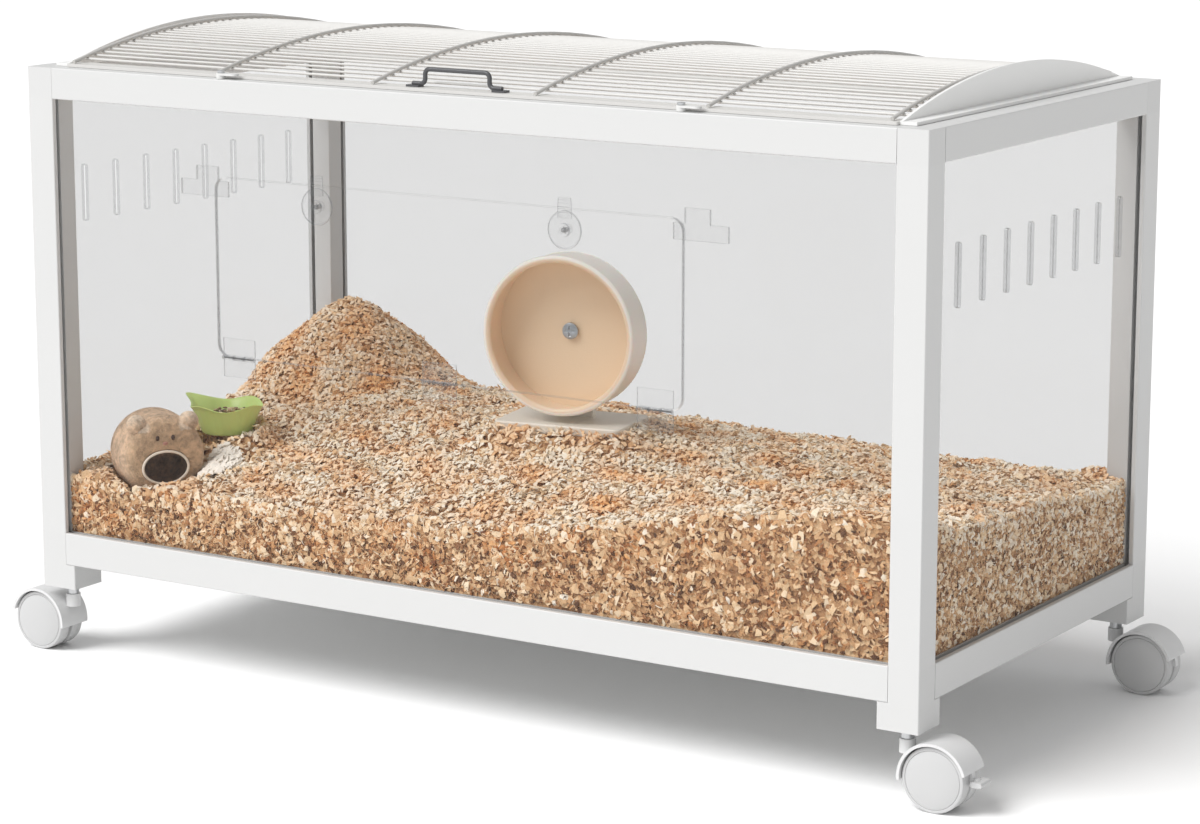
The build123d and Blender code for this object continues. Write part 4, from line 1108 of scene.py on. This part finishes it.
piping_rise = 0.0009
met_wider = 1.10
met_higher = 1.14
for point in piping.data.vertices:
    turn = math.atan2(point.co.y, point.co.x)
    ring = math.hypot(point.co.x, point.co.y) - door_half_width
    across = math.cos(turn) * (door_half_width + ring)
    upwards = math.sin(turn) * (door_half_width * squeeze + ring) - door_drop
    # the plush is met a little outside the doorway's edge
    spot, _ = find_hut_face(
        math.cos(turn) * door_half_width * met_wider,
        math.sin(turn) * door_half_width * squeeze * met_higher - door_drop,
    )
    lies = (from_frame @ spot).z
    point.co = hut_place @ Vector((across, upwards, lies + piping_rise + point.co.z))
piping_cloth = make_coat("cream_piping", (0.86, 0.76, 0.64), 0.8, 1400, 0.00012, 0.08)
piping.data.materials.append(piping_cloth)

bead_section = [
    (math.sin(math.pi * part / 12), -math.cos(math.pi * part / 12)) for part in range(13)
]
bead = turn_profile("bead", bead_section, 24, on_axis=True)
stitch_brown = make_coat("stitched_brown", (0.075, 0.036, 0.022), 0.6, 1500, 0.0001, 0.2)
stitch_pink = make_coat("stitched_pink", (0.52, 0.26, 0.20), 0.7, 1500, 0.0001, 0.2)
features = (
    ("left_eye", -0.0080, 0.0215, 0.0020, 0.0028, stitch_brown),
    ("right_eye", 0.0080, 0.0215, 0.0020, 0.0028, stitch_brown),
    ("nose", 0.0, 0.0158, 0.0028, 0.0020, stitch_pink),
)
bead_depth = 0.0012
for name, x, y, half_width, half_height, finish in features:
    spot, way = find_hut_face(x, y)
    upright = (Vector((0, 0, 1)) - way * way.z).normalized()
    axes = Matrix((upright.cross(way), upright, way)).transposed().to_4x4()
    sizes = Matrix.Diagonal((half_width, half_height, bead_depth, 1))
    feature = copy_piece(bead, "hut_" + name, Matrix.Translation(spot) @ axes @ sizes)
    feature.data.materials.append(finish)
    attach(feature, "cage")
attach(piping, "cage")

ear_radius = 0.0105
ear_half_depth = 0.0075
ear_lean = math.radians(20)
for side, x in (("left", -ear_spread), ("right", ear_spread)):
    sizes = Matrix.Diagonal((ear_radius, ear_radius, ear_half_depth, 1))
    lean = Matrix.Rotation(-ear_lean * x / ear_spread, 4, "Z")
    rest = Matrix.Translation((x * 1.04, ear_rise + 0.003, hut_length / 2 - 0.013))
    ear = copy_piece(bead, f"hut_{side}_ear", hut_place @ rest @ lean @ sizes)
    tip_share = ear.data.attributes.new("ear_share", "FLOAT", "POINT")
    for point in ear.data.vertices:
        local = from_frame @ point.co
        tip_share.data[point.index].value = min(1, max(0, (local.y - ear_rise) / ear_radius))
    ear.data.materials.append(plush)
    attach(ear, "cage")
bpy.data.objects.remove(bead)

# ======== food bowl ========
# A thin green bowl with a wavy rim, faint flutes and a pointed lip, part full of seeds. It
# only rests on the bedding.

bowl_section = (
    (0.0, 0.0),
    (0.0235, 0.0),
    (0.0255, 0.0010),
    (0.0270, 0.0040),
    (0.0308, 0.0150),
    (0.0345, 0.0250),
    (0.0366, 0.0283),
    (0.0374, 0.0290),
    (0.0372, 0.0297),
    (0.0362, 0.0294),
    (0.0340, 0.0268),
    (0.0296, 0.0155),
    (0.0255, 0.0045),
    (0.0235, 0.0022),
    (0.0120, 0.0016),
    (0.0, 0.0016),
)
bowl_height = 0.029
bowl_sides = 144
flute_count = 24
flute_depth = 0.012
wave_rise = 0.0022
lip_reach = 0.014
lip_spread = 0.24
bowl = turn_profile("fluted_bowl", bowl_section, bowl_sides, on_axis=True)
for point in bowl.data.vertices:
    turn = math.atan2(point.co.y, point.co.x)
    share = max(0, point.co.z / bowl_height)
    radius = math.hypot(point.co.x, point.co.y)
    from_lip = math.pi - abs(turn)
    wider = 1 + flute_depth * share * math.cos(flute_count * turn) * (share < 0.9)
    point.co.x *= wider
    point.co.y *= wider
    point.co.z += wave_rise * share**3 * math.cos(4 * turn + 0.6)
    if radius > 1e-6:
        drawn = lip_reach * math.exp(-((from_lip / lip_spread) ** 2)) * share**5
        point.co.x -= drawn
        point.co.z += 0.25 * drawn
bowl.data.transform(Matrix.Translation(bowl_foot))
bowl_plastic = make_coat(
    "green_plastic", (0.64, 0.80, 0.27), 0.34, 900, 0.00004, 0.06, Subsurface_Weight=0.15,
    Subsurface_Scale=0.003,
)
bowl.data.materials.append(bowl_plastic)
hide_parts("food_bowl")
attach(bowl, "cage")

seed_section = [
    (0.0, -1.0),
    (0.32, -0.82),
    (0.66, -0.40),
    (0.72, 0.0),
    (0.62, 0.36),
    (0.36, 0.74),
    (0.0, 1.0),
]
seed_shape = turn_profile("seed_shape", seed_section, 10, on_axis=True)
seed_random = np.random.default_rng(5)
seed_count = 260
seed_half_length = 0.0032
seed_floor = 0.008
seed_depth = 0.0125
seed_parts = []
for number in range(seed_count):
    turn = seed_random.uniform(0, math.tau)
    height = seed_floor + seed_depth * seed_random.uniform(0, 1)
    reach = 0.0215 + 0.30 * height
    away = reach * math.sqrt(seed_random.uniform(0, 1))
    heap = 0.003 * (1 - away / reach)
    spot = bowl_foot + Vector((away * math.cos(turn), away * math.sin(turn), height + heap))
    lean = Matrix.Rotation(seed_random.uniform(-0.5, 0.5) + math.pi / 2, 4, "X")
    spin = Matrix.Rotation(seed_random.uniform(0, math.tau), 4, "Z")
    half_length = seed_half_length * seed_random.uniform(0.7, 1.15)
    sizes = Matrix.Diagonal((half_length * 0.75, half_length * 0.55, half_length, 1))
    seed = copy_piece(
        seed_shape, f"seed_{number}", Matrix.Translation(spot) @ spin @ lean @ sizes
    )
    shade = seed.data.attributes.new("shade", "FLOAT", "POINT")
    shade.data.foreach_set("value", [seed_random.uniform(0, 1)] * len(seed.data.vertices))
    seed_parts.append(seed)
seeds = join_pieces("mixed_seeds", *seed_parts)
bpy.data.objects.remove(seed_shape)
seed_husk, tree, shader = start_material("seed_husk", Roughness=0.55)
shade = add_node(tree, "ShaderNodeAttribute", attribute_name="shade").outputs["Fac"]
husk_tones = (
    (0.00, (0.10, 0.055, 0.03)),
    (0.35, (0.42, 0.27, 0.14)),
    (0.70, (0.72, 0.55, 0.33)),
    (1.00, (0.86, 0.78, 0.62)),
)
tree.links.new(add_ramp(tree, shade, husk_tones), shader.inputs["Base Color"])
where = add_node(tree, "ShaderNodeTexCoord").outputs["Object"]
husk_grain = add_node(
    tree, "ShaderNodeTexNoise", {"Vector": where, "Scale": 1500.0, "Detail": 2.0}
).outputs["Fac"]
husk_bump = add_node(tree, "ShaderNodeBump", {"Height": husk_grain, "Distance": 0.0002})
tree.links.new(husk_bump.outputs["Normal"], shader.inputs["Normal"])
seeds.data.materials.append(seed_husk)
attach(seeds, "cage")
